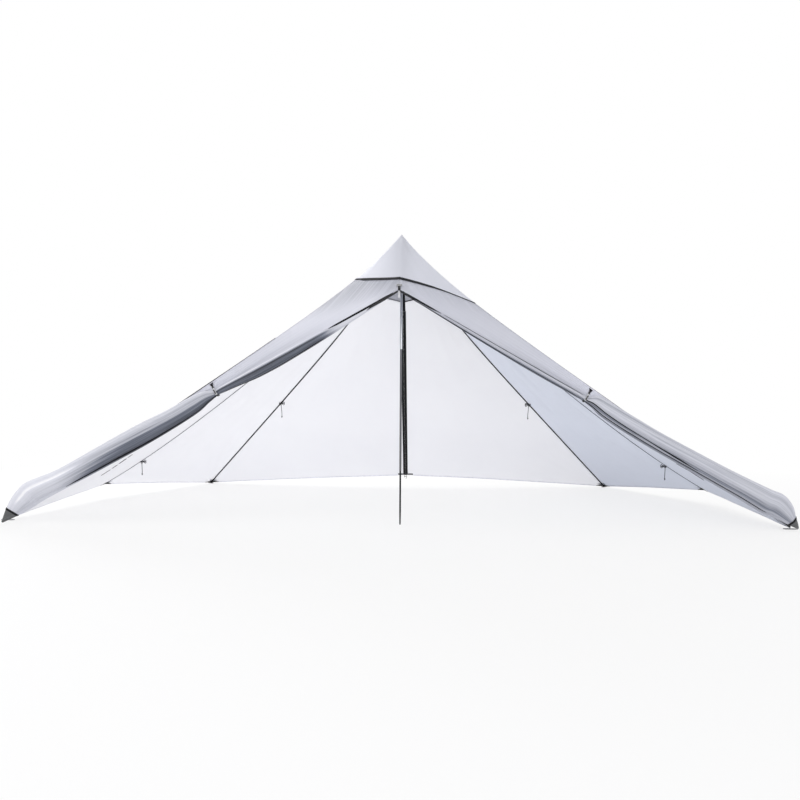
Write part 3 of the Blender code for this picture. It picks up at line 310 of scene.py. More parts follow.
def piece(name, points, finish, replaces=(), form="tube", body="tent", uv=None, shade=None, angle=50,
          outside=None):
    """One piece from a grid of points. The last column of a tube or a ring repeats the first; a tube's two
    ends are capped, and a ring's coinciding points are joined. A cloth is solid on its side away from the
    point outside, and every other piece is a closed body that faces outwards."""
    rows, columns = points.shape[:2]
    used = columns if form == "open" else columns - 1
    index = np.arange(rows * used).reshape(rows, used)
    index = np.concatenate([index, index[:, :columns - used]], axis=1)
    less, more = slice(None, -1), slice(1, None)
    around = ((less, less), (less, more), (more, more), (more, less))
    uv = grid_lengths(points) if uv is None else uv
    corners = np.stack([uv[part] for part in around], axis=2).reshape(-1, 2)
    faces = np.stack([index[part] for part in around], axis=-1).reshape(-1, 4).tolist()
    if form == "tube":
        faces += [index[0, :used].tolist(), index[-1, :used].tolist()]
        corners = np.concatenate([corners, uv[0, :used], uv[-1, :used]])
    mesh = bpy.data.meshes.new(name)
    mesh.from_pydata(points[:, :used].reshape(-1, 3).tolist(), [], faces)
    mesh.uv_layers.new(name="UVMap").data.foreach_set("uv", corners.astype(np.float32).ravel())
    if shade is not None:
        held = mesh.attributes.new("shade", "FLOAT", "POINT")
        held.data.foreach_set("value", shade[:, :used].astype(np.float32).ravel())
    work = bmesh.new()
    work.from_mesh(mesh)
    if form == "ring":
        bmesh.ops.remove_doubles(work, verts=work.verts[:], dist=0.000001)
    if outside is None:
        bmesh.ops.recalc_face_normals(work, faces=work.faces[:])
    else:
        work.normal_update()
        away = sum((face.calc_center_median() - Vector(outside)).dot(face.normal) for face in work.faces)
        if away < 0:
            bmesh.ops.reverse_faces(work, faces=work.faces[:])
    work.to_mesh(mesh)
    work.free()
    mesh.shade_smooth()
    mesh.set_sharp_from_angle(angle=math.radians(angle))
    mesh.materials.append(finish.owner)
    made = bpy.data.objects.new(name, mesh)
    bpy.context.scene.collection.objects.link(made)
    if outside is not None:
        solid = made.modifiers.new("thickness", "SOLIDIFY")
        solid.thickness = FABRIC
        solid.offset = 1.0
    if replaces:
        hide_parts(*replaces)
    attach(made, body)
    return made


def stretched_sheet(made, points, *rests_on):
    """Works out the UV lengths of a piece's grid and does nothing with them."""
    uv = grid_lengths(points)


def darker(colour, share):
    return tuple(share * part for part in colour)


def cloth_finish(name, colour, deep, glow, shaded=False, rounded=0.0, through=(0.865, 0.865, 0.88), hem=0.0):
    """Thin coated cloth: a fine plain weave, soft crinkles, a faint change of tone, and light let through.
    shaded paints shade and highlight into the colour from the piece's shade attribute, rounded is the distance
    over which the shading turns softly past the front middle line, and hem is how strongly painted shade
    darkens the cloth towards the ground."""
    f = Finish(name)
    u, v, vector = f.uv()
    weave = u.ribs(0.0011) * v.ribs(0.0011)
    ripstop = f.noise(f.stretched(vector, 1.0, 0.35), 420.0, 2.0)
    soft = f.noise(f.place(), 3.2, 4.0, 0.55)
    crinkle = f.noise(f.place(), 26.0, 5.0, 0.6)
    tone = f.mix((soft - 0.35) * 1.6 + (crinkle - 0.5) * 0.35, colour, deep)
    tone = f.mix((ripstop - 0.42).clamp() * 0.25, tone, darker(colour, 0.86))
    # Painted shade: the cloth grows darker towards the ground and lets less light through there.
    if hem:
        low = (1 - f.along(f.place(), "Z") / 0.5).clamp()
        tone = f.mix(low * hem, tone, darker(colour, 0.75))
        glow = glow - low * (0.5 * hem * glow)
    if shaded:
        # The shade attribute paints light into the colour: below zero a painted highlight, above it painted
        # shade through slate to near black, streaked where it is dark.
        dark = f.node("Attribute", {"attribute_name": "shade"}, out="Fac")
        grain = f.noise(f.stretched(vector, 75.0, 1.1), 1.0, 4.0, 0.7) * 0.6
        grain = grain + f.noise(f.stretched(vector, 260.0, 1.6), 1.0, 3.0, 0.6) * 0.4
        dark = dark + (grain - 0.5) * 1.7 * (dark * 2.4).clamp()
        tone = f.mix((dark * -5.0).clamp(), tone, PAINTED_HIGHLIGHT)
        tone = f.mix((dark * 2.0).clamp(), tone, SLATE)
        tone = f.mix((dark * 2.0 - 1.0).clamp(), tone, NEAR_BLACK)
    height = weave * 0.00006 + soft * 0.006 + crinkle * 0.0006
    bent = {}
    if rounded:
        kept = f.along(f.place(), "X").math("ABSOLUTE") / rounded
        kept = kept.math("MAXIMUM", f.along(f.place(), "Y") * 40.0).clamp()
        kept = f.node("CombineXYZ", sockets={"X": kept, "Y": 1.0, "Z": 1.0})
        normal = f.node("NewGeometry", out="Normal")
        normal = f.node("VectorMath", {"operation": "MULTIPLY"}, {0: normal, 1: kept})
        bent = {"Normal": f.node("VectorMath", {"operation": "NORMALIZE"}, {0: normal})}
    f.set(Base_Color=tone, Roughness=0.52 + (crinkle - 0.5) * 0.2, Normal=f.bump(height, 0.6, **bent),
          Sheen_Weight=0.15, Sheen_Roughness=0.4, Specular_IOR_Level=0.35)
    if glow:
        through = f.node("BsdfTranslucent", sockets={"Color": through, **bent})
        mixed = f.node("MixShader", sockets={0: glow, 1: Value(f, f.shader.outputs[0]), 2: through})
        f.feed(f.output, {"Surface": mixed})
    return f


# Colours of the painted shade, from slate to near black, and of the painted highlight.
SLATE, NEAR_BLACK, PAINTED_HIGHLIGHT = (0.15, 0.165, 0.21), (0.012, 0.013, 0.018), (0.95, 0.95, 0.98)
canopy_cloth = cloth_finish("canopy_cloth", (0.81, 0.815, 0.85), (0.74, 0.745, 0.80), 0.68, hem=0.16)
shaded_cloth = cloth_finish("canopy_cloth_shaded", (0.76, 0.775, 0.83), (0.69, 0.705, 0.77), 0.68,
                            through=(0.81, 0.83, 0.88), hem=0.40)
TENT_MIDDLE = (0.0, 0.6, 0.35)
PANEL_ROWS, PANEL_COLUMNS = 110, 56
SEAM_GAP, ZIP_EDGE, HEM_ARCH = 0.0008, 0.0035, 0.010
ZIP_OPENS = ZIP_TOP_PLACE + 0.02
LONG_WAVE, FINE_WAVE, CORNER_WAVE = 0.0022, 0.0009, 0.0030


def width_at(first, second, t):
    return np.linalg.norm(seam_point(first, t) - seam_point(second, t), axis=-1)


def edge_distance(seam, t):
    """How far a panel stays from its seam line, wider along the open slot of the rear zip."""
    close = SEAM_GAP / 2 * np.interp(t, (TOP_RING, 0.3), (1.6, 1))
    return np.where((t > ZIP_OPENS) & (seam == "rear"), ZIP_EDGE, close)


def panel_points(first, second):
    """A grid between two seams. Its hem rises in an arch 4s(1 - s), long shallow waves of a few millimetres
    run down the cloth and fade out at the seams, and finer ones fan out from both lower corners."""
    t = (TOP_RING + (1 - TOP_RING) * np.linspace(0, 1, PANEL_ROWS) ** 1.15)[:, None]
    width = width_at(first, second, t)
    start, stop = edge_distance(first, t) / width, 1 - edge_distance(second, t) / width
    s = start + (stop - start) * np.linspace(0, 1, PANEL_COLUMNS)
    arch = HEM_ARCH / seam_length(first) * 4 * s * (1 - s)
    points = surface_point(first, second, s, t - arch * ((t - TOP_RING) / (1 - TOP_RING)) ** 3)
    fade = np.sin(np.pi * s) ** 0.8 * ease(t, 0.08, 0.35) * (1 - 0.55 * ease(t, 0.9, 1.0))
    seed = sum(ord(letter) for letter in first) % 7
    wave = LONG_WAVE * np.sin(9 * s + 5 * t + seed) * np.sin(4.2 * t * np.pi + 2.0 * s + seed)
    wave = wave + FINE_WAVE * np.sin(31 * s + 3.5 * np.sin(5 * t + seed)) * np.sin(7.0 * t + 4.0 * s)
    up = 1.02 - t
    for over in (s, 1 - s):
        fan = np.sin(26 * np.arctan2(up, over + 0.03)) * np.exp(-5.0 * np.hypot(up, over))
        wave = wave + CORNER_WAVE * fan
    return points + (fade * wave)[..., None] * normals(points)


for panel_name, seams in PANELS.items():
    panel_grid = panel_points(*seams)
    # The right panels take a darker, bluer copy of the cloth that lets cooler light through and darkens more
    # towards the ground: painted shade on the side away from the lamps.
    finish = shaded_cloth if panel_name.startswith("right") else canopy_cloth
    panel = piece(f"{panel_name}_cloth", panel_grid, finish, [panel_name], form="open",
                  outside=TENT_MIDDLE)
    stretched_sheet(panel, panel_grid, "pole_top_plug", "rear_zip_coil")


# The seams: on the outside each is a flat felled fold with two rows of stitching, and on the inside a black
# tape covers it. The tape is wide over the rear corners, narrow over the side seams and grey on the left one.

NEIGHBOURS = {seam: (ROUND[place - 1], ROUND[(place + 1) % len(ROUND)]) for place, seam in enumerate(ROUND)}
# how far down a seam and into the cloth beside it the directions are read
STEP_DOWN, STEP_ACROSS = 0.001, 0.006
EDGE_ROUNDING = 0.22
UP = np.array([0.0, 0.0, 1.0])


def facing(vectors, way):
    """The vectors, each turned round where it points against the way."""
    return np.where((vectors * way).sum(axis=-1, keepdims=True) < 0, -vectors, vectors)


def seam_frame(seam, t, doorway=None):
    """Seam points, then for both neighbours the way into their cloth and its outward normal."""
    here = seam_point(seam, t)
    along = unit(seam_point(seam, t + STEP_DOWN) - seam_point(seam, t - STEP_DOWN))
    sides = []
    for neighbour in NEIGHBOURS[seam]:
        if neighbour == "front" and doorway is not None:
            way = doorway
        else:
            way = surface_point(seam, neighbour, STEP_ACROSS / width_at(seam, neighbour, t), t) - here
        way = unit(way - (way * along).sum(axis=-1, keepdims=True) * along)
        sides.append((way, facing(unit(np.cross(along, way)), UP)))
    return here, sides


def level(here, sides, height):
    """The line at an even height over both neighbours' inner faces; inside is below zero."""
    first, second = sides[0][1], sides[1][1]
    return here + height * (first + second) / (1 + (first * second).sum(axis=-1, keepdims=True))


def closed_ring(lines):
    """A grid whose columns are those lines, with the first one again at the end."""
    return np.stack([*lines, lines[0]], axis=1)


def folded_strip(seam, t, wing, low, high, doorway=None, steps=4):
    """Rings of a strip folded along a seam: out along one wing on the upper face, back along the lower."""
    here, sides = seam_frame(seam, t, doorway)
    wing = np.broadcast_to(wing, t.shape)[:, None]
    share = np.linspace(-1, 1, 2 * steps + 1)
    faces = []
    rounding = EDGE_ROUNDING * (high - low)
    for height, inwards in ((high, -rounding), (low, rounding)):
        line = []
        for q in share:
            way, normal = sides[0 if q < 0 else 1]
            edge = here + abs(q) * wing * way + (height + (abs(q) == 1) * inwards) * normal
            line.append(level(here, sides, height) if q == 0 else edge)
        faces.append(line)
    across = np.concatenate([share, share[::-1], share[:1]]) * wing
    return closed_ring(faces[0] + faces[1][::-1]), paired(across, run_length(here)[:, None])


def tape_finish(name, colour, thread, rows=(0.0034,), pitch=0.0032, roughness=0.75):
    """Woven tape: fine ribs across, and rows of stitches at those places, as dashes of a lighter thread."""
    f = Finish(name)
    u, v, _ = f.uv()
    ribs, warp = v.ribs(0.0009) * 0.5 + 0.5, u.ribs(0.0007) * 0.5 + 0.5
    worn = f.noise(f.place(), 60.0, 4.0, 0.6)
    stitch = None
    for row in rows:
        near = 1 - ((u.math("ABSOLUTE") - row).math("ABSOLUTE") * 2500.0).clamp()
        stitch = near if stitch is None else stitch.math("MAXIMUM", near)
    stitch = stitch * ((v / pitch).math("FRACT") - 0.34).math("ABSOLUTE").math("LESS_THAN", 0.32)
    base = f.mix((worn - 0.35) * 0.9, colour, tuple(1.7 * part + 0.004 for part in colour))
    height = ribs * 0.00010 + warp * 0.00005 + stitch * 0.00025
    return f.set(Base_Color=f.mix(stitch, base, thread), Roughness=roughness + (worn - 0.5) * 0.2,
                 Normal=f.bump(height, 0.7), Sheen_Weight=0.03, Specular_IOR_Level=0.12)


black_tape = tape_finish("black_seam_tape", (0.010, 0.010, 0.013), (0.035, 0.035, 0.04))
grey_tape = tape_finish("grey_seam_tape", (0.17, 0.17, 0.19), (0.30, 0.30, 0.33), rows=(0.0015,))
felled_cloth = tape_finish("felled_seam_cloth", (0.66, 0.66, 0.73), (0.80, 0.80, 0.86), rows=(0.0034, 0.0008))
SEAM_START, SEAM_STOP, FOLD_START = TOP_RING + 0.004, 0.994, TOP_RING + 0.114
TAPE_FACES = (-0.00145, -0.00045)
FOLD_FACES = (FABRIC + 0.0001, FABRIC + 0.0011)
STRIP_ROWS = 150


def strip(name, seam, start, stop, wing, faces, finish, replaces=(), doorway=None):
    """A folded strip between two places on a seam, narrower near the peak."""
    t = np.linspace(start, stop, STRIP_ROWS)
    wing = wing * np.interp(t, (TOP_RING, 0.3), (0.4, 1))
    ring, uv = folded_strip(seam, t, wing, *faces, None if doorway is None else doorway(seam, t))
    piece(name, ring, finish, replaces, uv=uv, angle=40)


for seam, wing, finish in (("left_side", 0.0022, grey_tape), ("right_side", 0.0026, black_tape),
                           ("left_corner", 0.0052, black_tape), ("right_corner", 0.0052, black_tape)):
    strip(f"{seam}_inner_tape", seam, SEAM_START, SEAM_STOP, wing, TAPE_FACES, finish,
          [f"{seam}_binding"])
    strip(f"{seam}_felled_seam", seam, FOLD_START, SEAM_STOP, 0.0056, FOLD_FACES, felled_cloth)
strip("rear_peak_inner_tape", "rear", SEAM_START, ZIP_OPENS - 0.0002, 0.0165, TAPE_FACES, black_tape,
      ["rear_peak_binding"])

# The hem: the lower edge of each panel is turned in and sewn, a double band 9 mm wide on the inner side. It
# stops short of the seams.

HEM_WIDTH, HEM_SHARES, HEM_FACES = 0.009, np.array([0.0, 0.25, 0.6, 1.0]), (0.0004, 0.0011)
hem_cloth = tape_finish("hem_cloth", (0.70, 0.70, 0.77), (0.52, 0.53, 0.60), rows=(0.0026,), pitch=0.0036)
for panel_name, seams in PANELS.items():
    panel_grid = panel_points(*seams)
    above, edge = panel_grid[-2:]
    out, upward = facing(normals(panel_grid)[-1], edge - TENT_MIDDLE), unit(above - edge)
    inner, outer = [edge - lift * out for lift in HEM_FACES]
    lines = [inner + HEM_WIDTH * q * upward for q in HEM_SHARES]
    lines += [outer + HEM_WIDTH * q * upward for q in HEM_SHARES[::-1]]
    across = np.array([*HEM_SHARES, *HEM_SHARES[::-1], 0.0]) * HEM_WIDTH - HEM_WIDTH / 2
    piece(f"{panel_name}_hem", closed_ring(lines)[2:-2], hem_cloth,
          uv=paired(across, run_length(inner[2:-2])[:, None]), angle=40)

# The corners: a folded patch of heavy grey cloth with a black bound edge is sewn over each peg corner, on the
# outside, and a smaller one over each side hem.

# seam, length up the seam, width at the hem on each side
PATCHES = {
    "front_left_corner_patch": ("left_ridge", 0.074, 0.052),
    "front_right_corner_patch": ("right_ridge", 0.074, 0.052),
    "rear_left_corner_patch": ("left_corner", 0.060, 0.030),
    "rear_right_corner_patch": ("right_corner", 0.060, 0.030),
    "left_hem_patch": ("left_side", 0.046, 0.026),
    "right_hem_patch": ("right_side", 0.046, 0.026),
}
PATCH_TIP, PATCH_FACES = 0.004, (FABRIC + 0.0008, FABRIC + 0.0020)
EDGE_HALF_WIDTH, EDGE_HALF_THICK = 0.0022, 0.0009
TURNED_UP = (0.0, -0.35, 0.94)
patch_cloth = tape_finish("corner_patch_cloth", (0.115, 0.118, 0.120), (0.30, 0.30, 0.30),
                          rows=(0.020, 0.008), roughness=0.65)
patch_edge = tape_finish("corner_patch_edge", (0.014, 0.014, 0.016), (0.06, 0.06, 0.06), rows=(0.0016,))


def rod(line, first, second, count):
    """An oval carried along a line: line + first cos(h) + second sin(h), h once round."""
    turn = np.linspace(0, 2 * np.pi, count)[:, None]
    return line[:, None] + np.cos(turn) * first[:, None] + np.sin(turn) * second[:, None]


for name, (seam, length, wide) in PATCHES.items():
    up_seam = np.linspace(length, PATCH_TIP, 26)
    t = 1 - up_seam / seam_length(seam)
    wing = wide * up_seam / length
    up_way = np.broadcast_to(TURNED_UP, (len(t), 3)) if seam.endswith("ridge") else None
    ring, uv = folded_strip(seam, t, wing, *PATCH_FACES, up_way, steps=8)
    piece(f"{name}_cloth", ring, patch_cloth, [name], uv=uv, angle=40)
    here, sides = seam_frame(seam, t, up_way)
    for label, (way, normal) in zip(("first", "second"), sides):
        middle = here + wing[:, None] * way + sum(PATCH_FACES) / 2 * normal
        piece(f"{name}_{label}_edge", rod(middle, EDGE_HALF_WIDTH * way, EDGE_HALF_THICK * normal, 9),
              patch_edge)

# Inside the rear corners and side seams lie black patches in two halves that follow the hem: distance up the
# seam, width at the hem.

PATCH_INSIDE = (0.0024, 0.0034)
for seam, length, wide in (("left_corner", 0.034, 0.074), ("right_corner", 0.034, 0.074),
                           ("left_side", 0.032, 0.052), ("right_side", 0.032, 0.052)):
    up_seam = np.linspace(length, PATCH_TIP + 0.003, 24)[:, None]
    t = 1 - up_seam / seam_length(seam)
    for neighbour in NEIGHBOURS[seam]:
        share = (0.004 + wide * (1 - up_seam / length)) / width_at(seam, neighbour, t)
        grid = surface_point(seam, neighbour, np.linspace(0, 1, 9) * share, t)
        out = facing(normals(grid), grid - TENT_MIDDLE)
        near, far = [grid - depth * out for depth in PATCH_INSIDE]
        piece(f"{seam}_inner_patch_by_{neighbour}", np.concatenate([near, far[:, ::-1], near[:, :1]], axis=1),
              patch_edge, angle=40)

# The stake loops are flat rings of webbing, folded double and sewn under the corner patches: grey at the
# front and black at the rear. Each slot takes a peg.

LOOPS = {"front_left": ("left_ridge", 0.032), "front_right": ("right_ridge", 0.032),
         "rear_left": ("left_corner", 0.050), "rear_right": ("right_corner", 0.050)}
LOOP_HOLD, LOOP_WIDTH, LOOP_THICK = 0.036, 0.020, 0.003
SLOT_HALF, SLOT_START, SLOT_MARGIN = 0.0045, 0.004, 0.012
loop_webbing = tape_finish("loop_webbing", (0.05, 0.05, 0.054), (0.22, 0.22, 0.22), rows=(0.006, 0.002))
pale_webbing = tape_finish("pale_loop_webbing", (0.42, 0.42, 0.43), (0.62, 0.62, 0.62), rows=(0.006, 0.002))


def oval(half_length, half_width, middle):
    """A rounded rectangle as a superellipse |x/a|^4 + |y/b|^4 = 1."""
    turn = np.linspace(0, 2 * np.pi, 49)
    way = np.stack([np.cos(turn), np.sin(turn)], axis=1)
    return (half_length, half_width) * np.sign(way) * np.abs(way) ** 0.5 + (middle, 0.0)


for name, (seam, overhang) in LOOPS.items():
    reach = np.hypot(*FEET[seam][:2])
    out = FEET[seam] * (1, 1, 0) / reach
    beside = np.cross(UP, out)
    slot_length = overhang - SLOT_MARGIN
    outer = oval((overhang + LOOP_HOLD) / 2, LOOP_WIDTH / 2, reach + (overhang - LOOP_HOLD) / 2)
    hole = oval(slot_length / 2, SLOT_HALF, reach + SLOT_START + slot_length / 2)
    lines = ((outer, 0.0), (outer, 0.8), (0.96 * outer + 0.04 * hole, 1.0), (0.06 * outer + 0.94 * hole, 1.0),
             (hole, 0.8), (hole, 0.0), (outer, 0.0))
    ring = [line[:, :1] * out + line[:, 1:] * beside + LOOP_THICK * high * UP for line, high in lines]
    finish = pale_webbing if name.startswith("front") else loop_webbing
    piece(f"{name}_webbing_loop", np.stack(ring), finish, [f"{name}_stake_loop"], form="ring",
          uv=np.stack([line[:, ::-1] for line, _ in lines]), angle=40)


# The hood: a second layer of cloth over the peak, drawn to a point by the pole, with a black bound rim that
# swings from seam to seam. It is sewn to the panels at the ridges and stands a little off them between.

RIM_REACH = dict(zip(ROUND, (0.252, 0.300, 0.300, 0.286, 0.300, 0.300, 0.394, 0.292)))
RIM_ARCH = {"right_ridge": 0.010, "front": 0.007}
HOOD_LIFT, HOOD_TIP = FABRIC + 0.0016, 1.45 * FABRIC
HOOD_FOLD, HOOD_FINE_FOLD, HOOD_DIP = 0.0010, 0.0006, -0.0008
HOOD_ROWS, SECTOR_COLUMNS = 56, 22
RIM_WIDTH, RIM_THICK, RIM_START = 0.0110, 0.0016, 0.0006


def rim_place(seam):
    """How far down its seam the hood's rim lies."""
    return RIM_REACH[seam] / math.hypot(*FEET[seam][:2])


def hood_points(start, stop, rows):
    """Lines from near the peak to the rim, a fixed count to each seam; the rim's place is mixed across.
    start and stop are (share of the rim's distance, metres past it)."""
    lines = []
    s = (np.arange(SECTOR_COLUMNS) / SECTOR_COLUMNS)[:, None]
    for first, second in zip(ROUND, ROUND[1:] + ROUND[:1]):
        rim = (1 - s) * rim_place(first) + s * rim_place(second) - RIM_ARCH.get(first, 0) * np.sin(np.pi * s)
        length = (1 - s) * seam_length(first) + s * seam_length(second)
        low, high = rim * start[0] + start[1] / length, rim * stop[0] + stop[1] / length
        lines.append(surface_point(first, second, s, low + (high - low) * np.linspace(0, 1, rows)))
    points = np.concatenate(lines).transpose(1, 0, 2)
    return np.concatenate([points, points[:, :1]], axis=1)


def ring_normals(points):
    """Normals of a grid whose last column repeats its first, facing up and away from the pole."""
    return facing(normals(np.concatenate([points[:, -2:-1], points, points[:, 1:2]], axis=1))[:, 1:-1], UP)


hood_cloth = cloth_finish("hood_cloth", (0.88, 0.895, 0.98), (0.85, 0.865, 0.95), 0.30, rounded=0.14)
hood_grid = hood_points((0.0, 0.004), (1.0, 0.0), HOOD_ROWS)
down = np.linspace(0, 1, HOOD_ROWS)[:, None]
turn = np.linspace(0, 2 * np.pi, hood_grid.shape[1])
hood_fade = ease(down, 0.06, 0.3) * (1 - 0.7 * ease(down, 0.85, 1.0))
hood_fold = HOOD_FOLD * np.cos(8 * turn + 1.5 * down) + HOOD_FINE_FOLD * np.cos(21 * turn + 5 * down)
hood_lift = HOOD_LIFT + hood_fade * np.maximum(hood_fold, HOOD_DIP)
hood_grid = hood_grid + hood_lift[..., None] * ring_normals(hood_grid)
hood_grid[0] = (0.0, 0.0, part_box("peak_hood")[1].z - HOOD_TIP)
hood = piece("hood_cloth_cone", hood_grid, hood_cloth, ["peak_hood"], form="ring",
             outside=(0.0, 0.0, 1.1))
stretched_sheet(hood, hood_grid, "pole_cup")

# The black binding of the hood's rim is widest across the front and narrower round the sides and the back.
# Where it widens and narrows is counted in columns of the hood's grid.

RIM_WIDENS, RIM_NARROWS = (138, 148), (167, 173)
RIM_ROUNDING = np.array([0.75, 1, 1, 1, 0.75])[:, None, None]
rim_grid = hood_points((1.0, RIM_START), (1.0, RIM_START + RIM_WIDTH), 5)
column = np.arange(rim_grid.shape[1])[:, None]
rim_wide = 0.75 + 0.95 * ease(column, *RIM_WIDENS) * (1 - ease(column, *RIM_NARROWS))
rim_grid = rim_grid[:1] + (rim_grid - rim_grid[:1]) * rim_wide
rim_out = ring_normals(rim_grid)
rim_low = rim_grid + HOOD_LIFT * rim_out
rim_high = rim_grid + (HOOD_LIFT + RIM_THICK * RIM_ROUNDING) * rim_out
rim_ring = np.concatenate([rim_low, rim_high[::-1], rim_low[:1]])
rim_across = np.array([-2, -1, 0, 1, 2, 2, 1, 0, -1, -2, -2]) * RIM_WIDTH / 4
piece("hood_rim_tape", rim_ring.transpose(1, 0, 2), black_tape, ["hood_rim_binding"], form="ring",
      uv=paired(rim_across, run_length(rim_grid[2])[:, None]))

# Inside the rear panels, just under the hood's rim, lie two short strips, grey on the left and black on the
# right: a painted shadow of the rim's binding seen through the cloth, made as tape.
inner_rim = hood_points((1.0, 0.001), (1.0, 0.007), 2)
inner_out = ring_normals(hood_points((1.0, 0.0), (1.0, 0.008), 5))[1:3]
rear_column = ROUND.index("rear") * SECTOR_COLUMNS
for label, start, stop, finish in (("left", -6, 0, grey_tape), ("right", 0, 11, black_tape)):
    columns = slice(rear_column + start, rear_column + stop)
    near, far = [(inner_rim - depth * inner_out)[:, columns] for depth in (0.0006, 0.0014)]
    piece(f"hood_rear_{label}_seam_tape", closed_ring([near[0], near[1], far[1], far[0]]), finish)

# The doors: each hangs taut from its ridge down to the fold where it turns under. Below that the rest of the
# door is rolled up behind the fold, pinched by the tie-back, and lies gathered along the ridge to the corner.

FORWARD = np.array([0.0, -1.0, 0.0])
DOORWAY_TOP, TIE_REACH, DOOR_MARGIN = 0.250, 1.183, 0.064
TIE_WAY = np.array((0.20, -0.45, -0.87))
PATCH_REACH = 0.0743
SWELL = {"left": 0.026, "right": 0.015}
ROLL_START, ROLL_SPAN, PINCH, PLEAT, THROAT = 0.0045, 1.45, 0.014, 0.12, 0.022
ROLL_UPPER, ROLL_SIDES = 10, 96
TURN_REACH = 0.045
WING_CLEAR, ROLL_CLEAR = 0.0087, 0.0003
# down the wing: place down to the foot and half depth, then on each side lift over the ridge and half height
WING_PLACE = np.array((0.051, 0.109, 0.206, 0.341, 0.496, 0.622, 0.719, 0.830))
WING_DEEP = np.array((0.019, 0.024, 0.029, 0.032, 0.033, 0.033, 0.031, 0.024))
WING = {
    "left": np.array([(-0.055, -0.054, -0.050, -0.034, -0.016, -0.002, 0.012, 0.036),
                      (0.030, 0.042, 0.046, 0.053, 0.052, 0.050, 0.050, 0.058)]),
    "right": np.array([(-0.051, -0.051, -0.046, -0.034, -0.014, 0.003, 0.018, 0.036),
                       (0.032, 0.040, 0.043, 0.044, 0.046, 0.048, 0.051, 0.057)]),
}
# then down to the peg point: x, y, z, half height, half depth
WING_TIP = {
    "left": np.array([
        (-1.8842, -0.046, 0.1228, 0.054, 0.017), (-1.9139, -0.056, 0.0890, 0.044, 0.013),
        (-1.9358, -0.068, 0.0583, 0.031, 0.010), (-1.9522, -0.086, 0.0301, 0.015, 0.007),
        (-1.9636, -0.100, 0.0094, 0.003, 0.0025),
    ]),
    "right": np.array([
        (1.8317, -0.044, 0.1281, 0.056, 0.017), (1.8721, -0.046, 0.0911, 0.045, 0.013),
        (1.9022, -0.044, 0.0537, 0.027, 0.010), (1.9261, -0.036, 0.0286, 0.013, 0.007),
        (1.9441, -0.026, 0.0107, 0.003, 0.0025),
    ]),
}


def tie_place(ridge):
    return TIE_REACH / seam_length(ridge)


def tie_corner(ridge):
    """The door's lowest taut point, where the tie-back gathers it under its ridge."""
    inward = -math.copysign(1.0, FEET[ridge][0])
    return seam_point(ridge, tie_place(ridge)) + DOOR_MARGIN * unit(TIE_WAY * (inward, 1, 1))


def door_edge(ridge, t):
    """The lower edge of the taut cloth: the middle line down to the doorway's top, then the fold line."""
    shift = np.array([math.copysign(SEAM_GAP / 2, FEET[ridge][0]), 0, 0])
    closed = chord_point("front", np.minimum(t, DOORWAY_TOP)) + shift
    share = np.clip((t - DOORWAY_TOP) / (tie_place(ridge) - DOORWAY_TOP), 0, 1)[:, None]
    fold = (1 - share) * (chord_point("front", DOORWAY_TOP) + shift) + share * tie_corner(ridge)
    beyond = seam_point(ridge, t) + tie_corner(ridge) - seam_point(ridge, tie_place(ridge))
    return np.where(t[:, None] > tie_place(ridge), beyond, np.where(share > 0, fold, closed))


def door_way(ridge, t):
    """From the ridge into the door's cloth, and straight up it beside the corner patch."""
    near_foot = t[:, None] > 1 - PATCH_REACH / seam_length(ridge)
    return np.where(near_foot, TURNED_UP, door_edge(ridge, t) - seam_point(ridge, t))


def curve_through(values, times=8):
    """A smooth curve through stations by the Catmull-Rom rule, with that many points to each step."""
    padded = np.concatenate([2 * values[:1] - values[1:2], values, 2 * values[-1:] - values[-2:-1]])
    a, b, c, d = [part[:, None] for part in (padded[:-3], padded[1:-2], padded[2:-1], padded[3:])]
    u = (np.arange(times) / times)[None, :, None]
    bend = 2 * b + (c - a) * u + (2 * a - 5 * b + 4 * c - d) * u * u + (3 * b - a - 3 * c + d) * u**3
    return np.concatenate([0.5 * bend.reshape(-1, values.shape[1]), values[-1:]])


def under_fold(side, share):
    """Down a door's fold: its lower edge, the radius of the roll that hangs under it, and the normal of the
    door's plane. The radius is a half sine wave of the share, pinched at the tie-back."""
    ridge = f"{side}_ridge"
    t = DOORWAY_TOP + share * (tie_place(ridge) - DOORWAY_TOP)
    radius = ROLL_START + (SWELL[side] - ROLL_START) * np.sin(np.pi * (share / ROLL_SPAN) ** 1.1)
    plane = facing(unit(np.cross(FEET[ridge] - PEAK, FEET["front"] - PEAK)), UP)
    pinch = np.clip((share - 0.75) / 0.25, 0, 1)
    radius = radius * (1 - pinch) + PINCH * pinch
    return door_edge(ridge, t), radius, plane


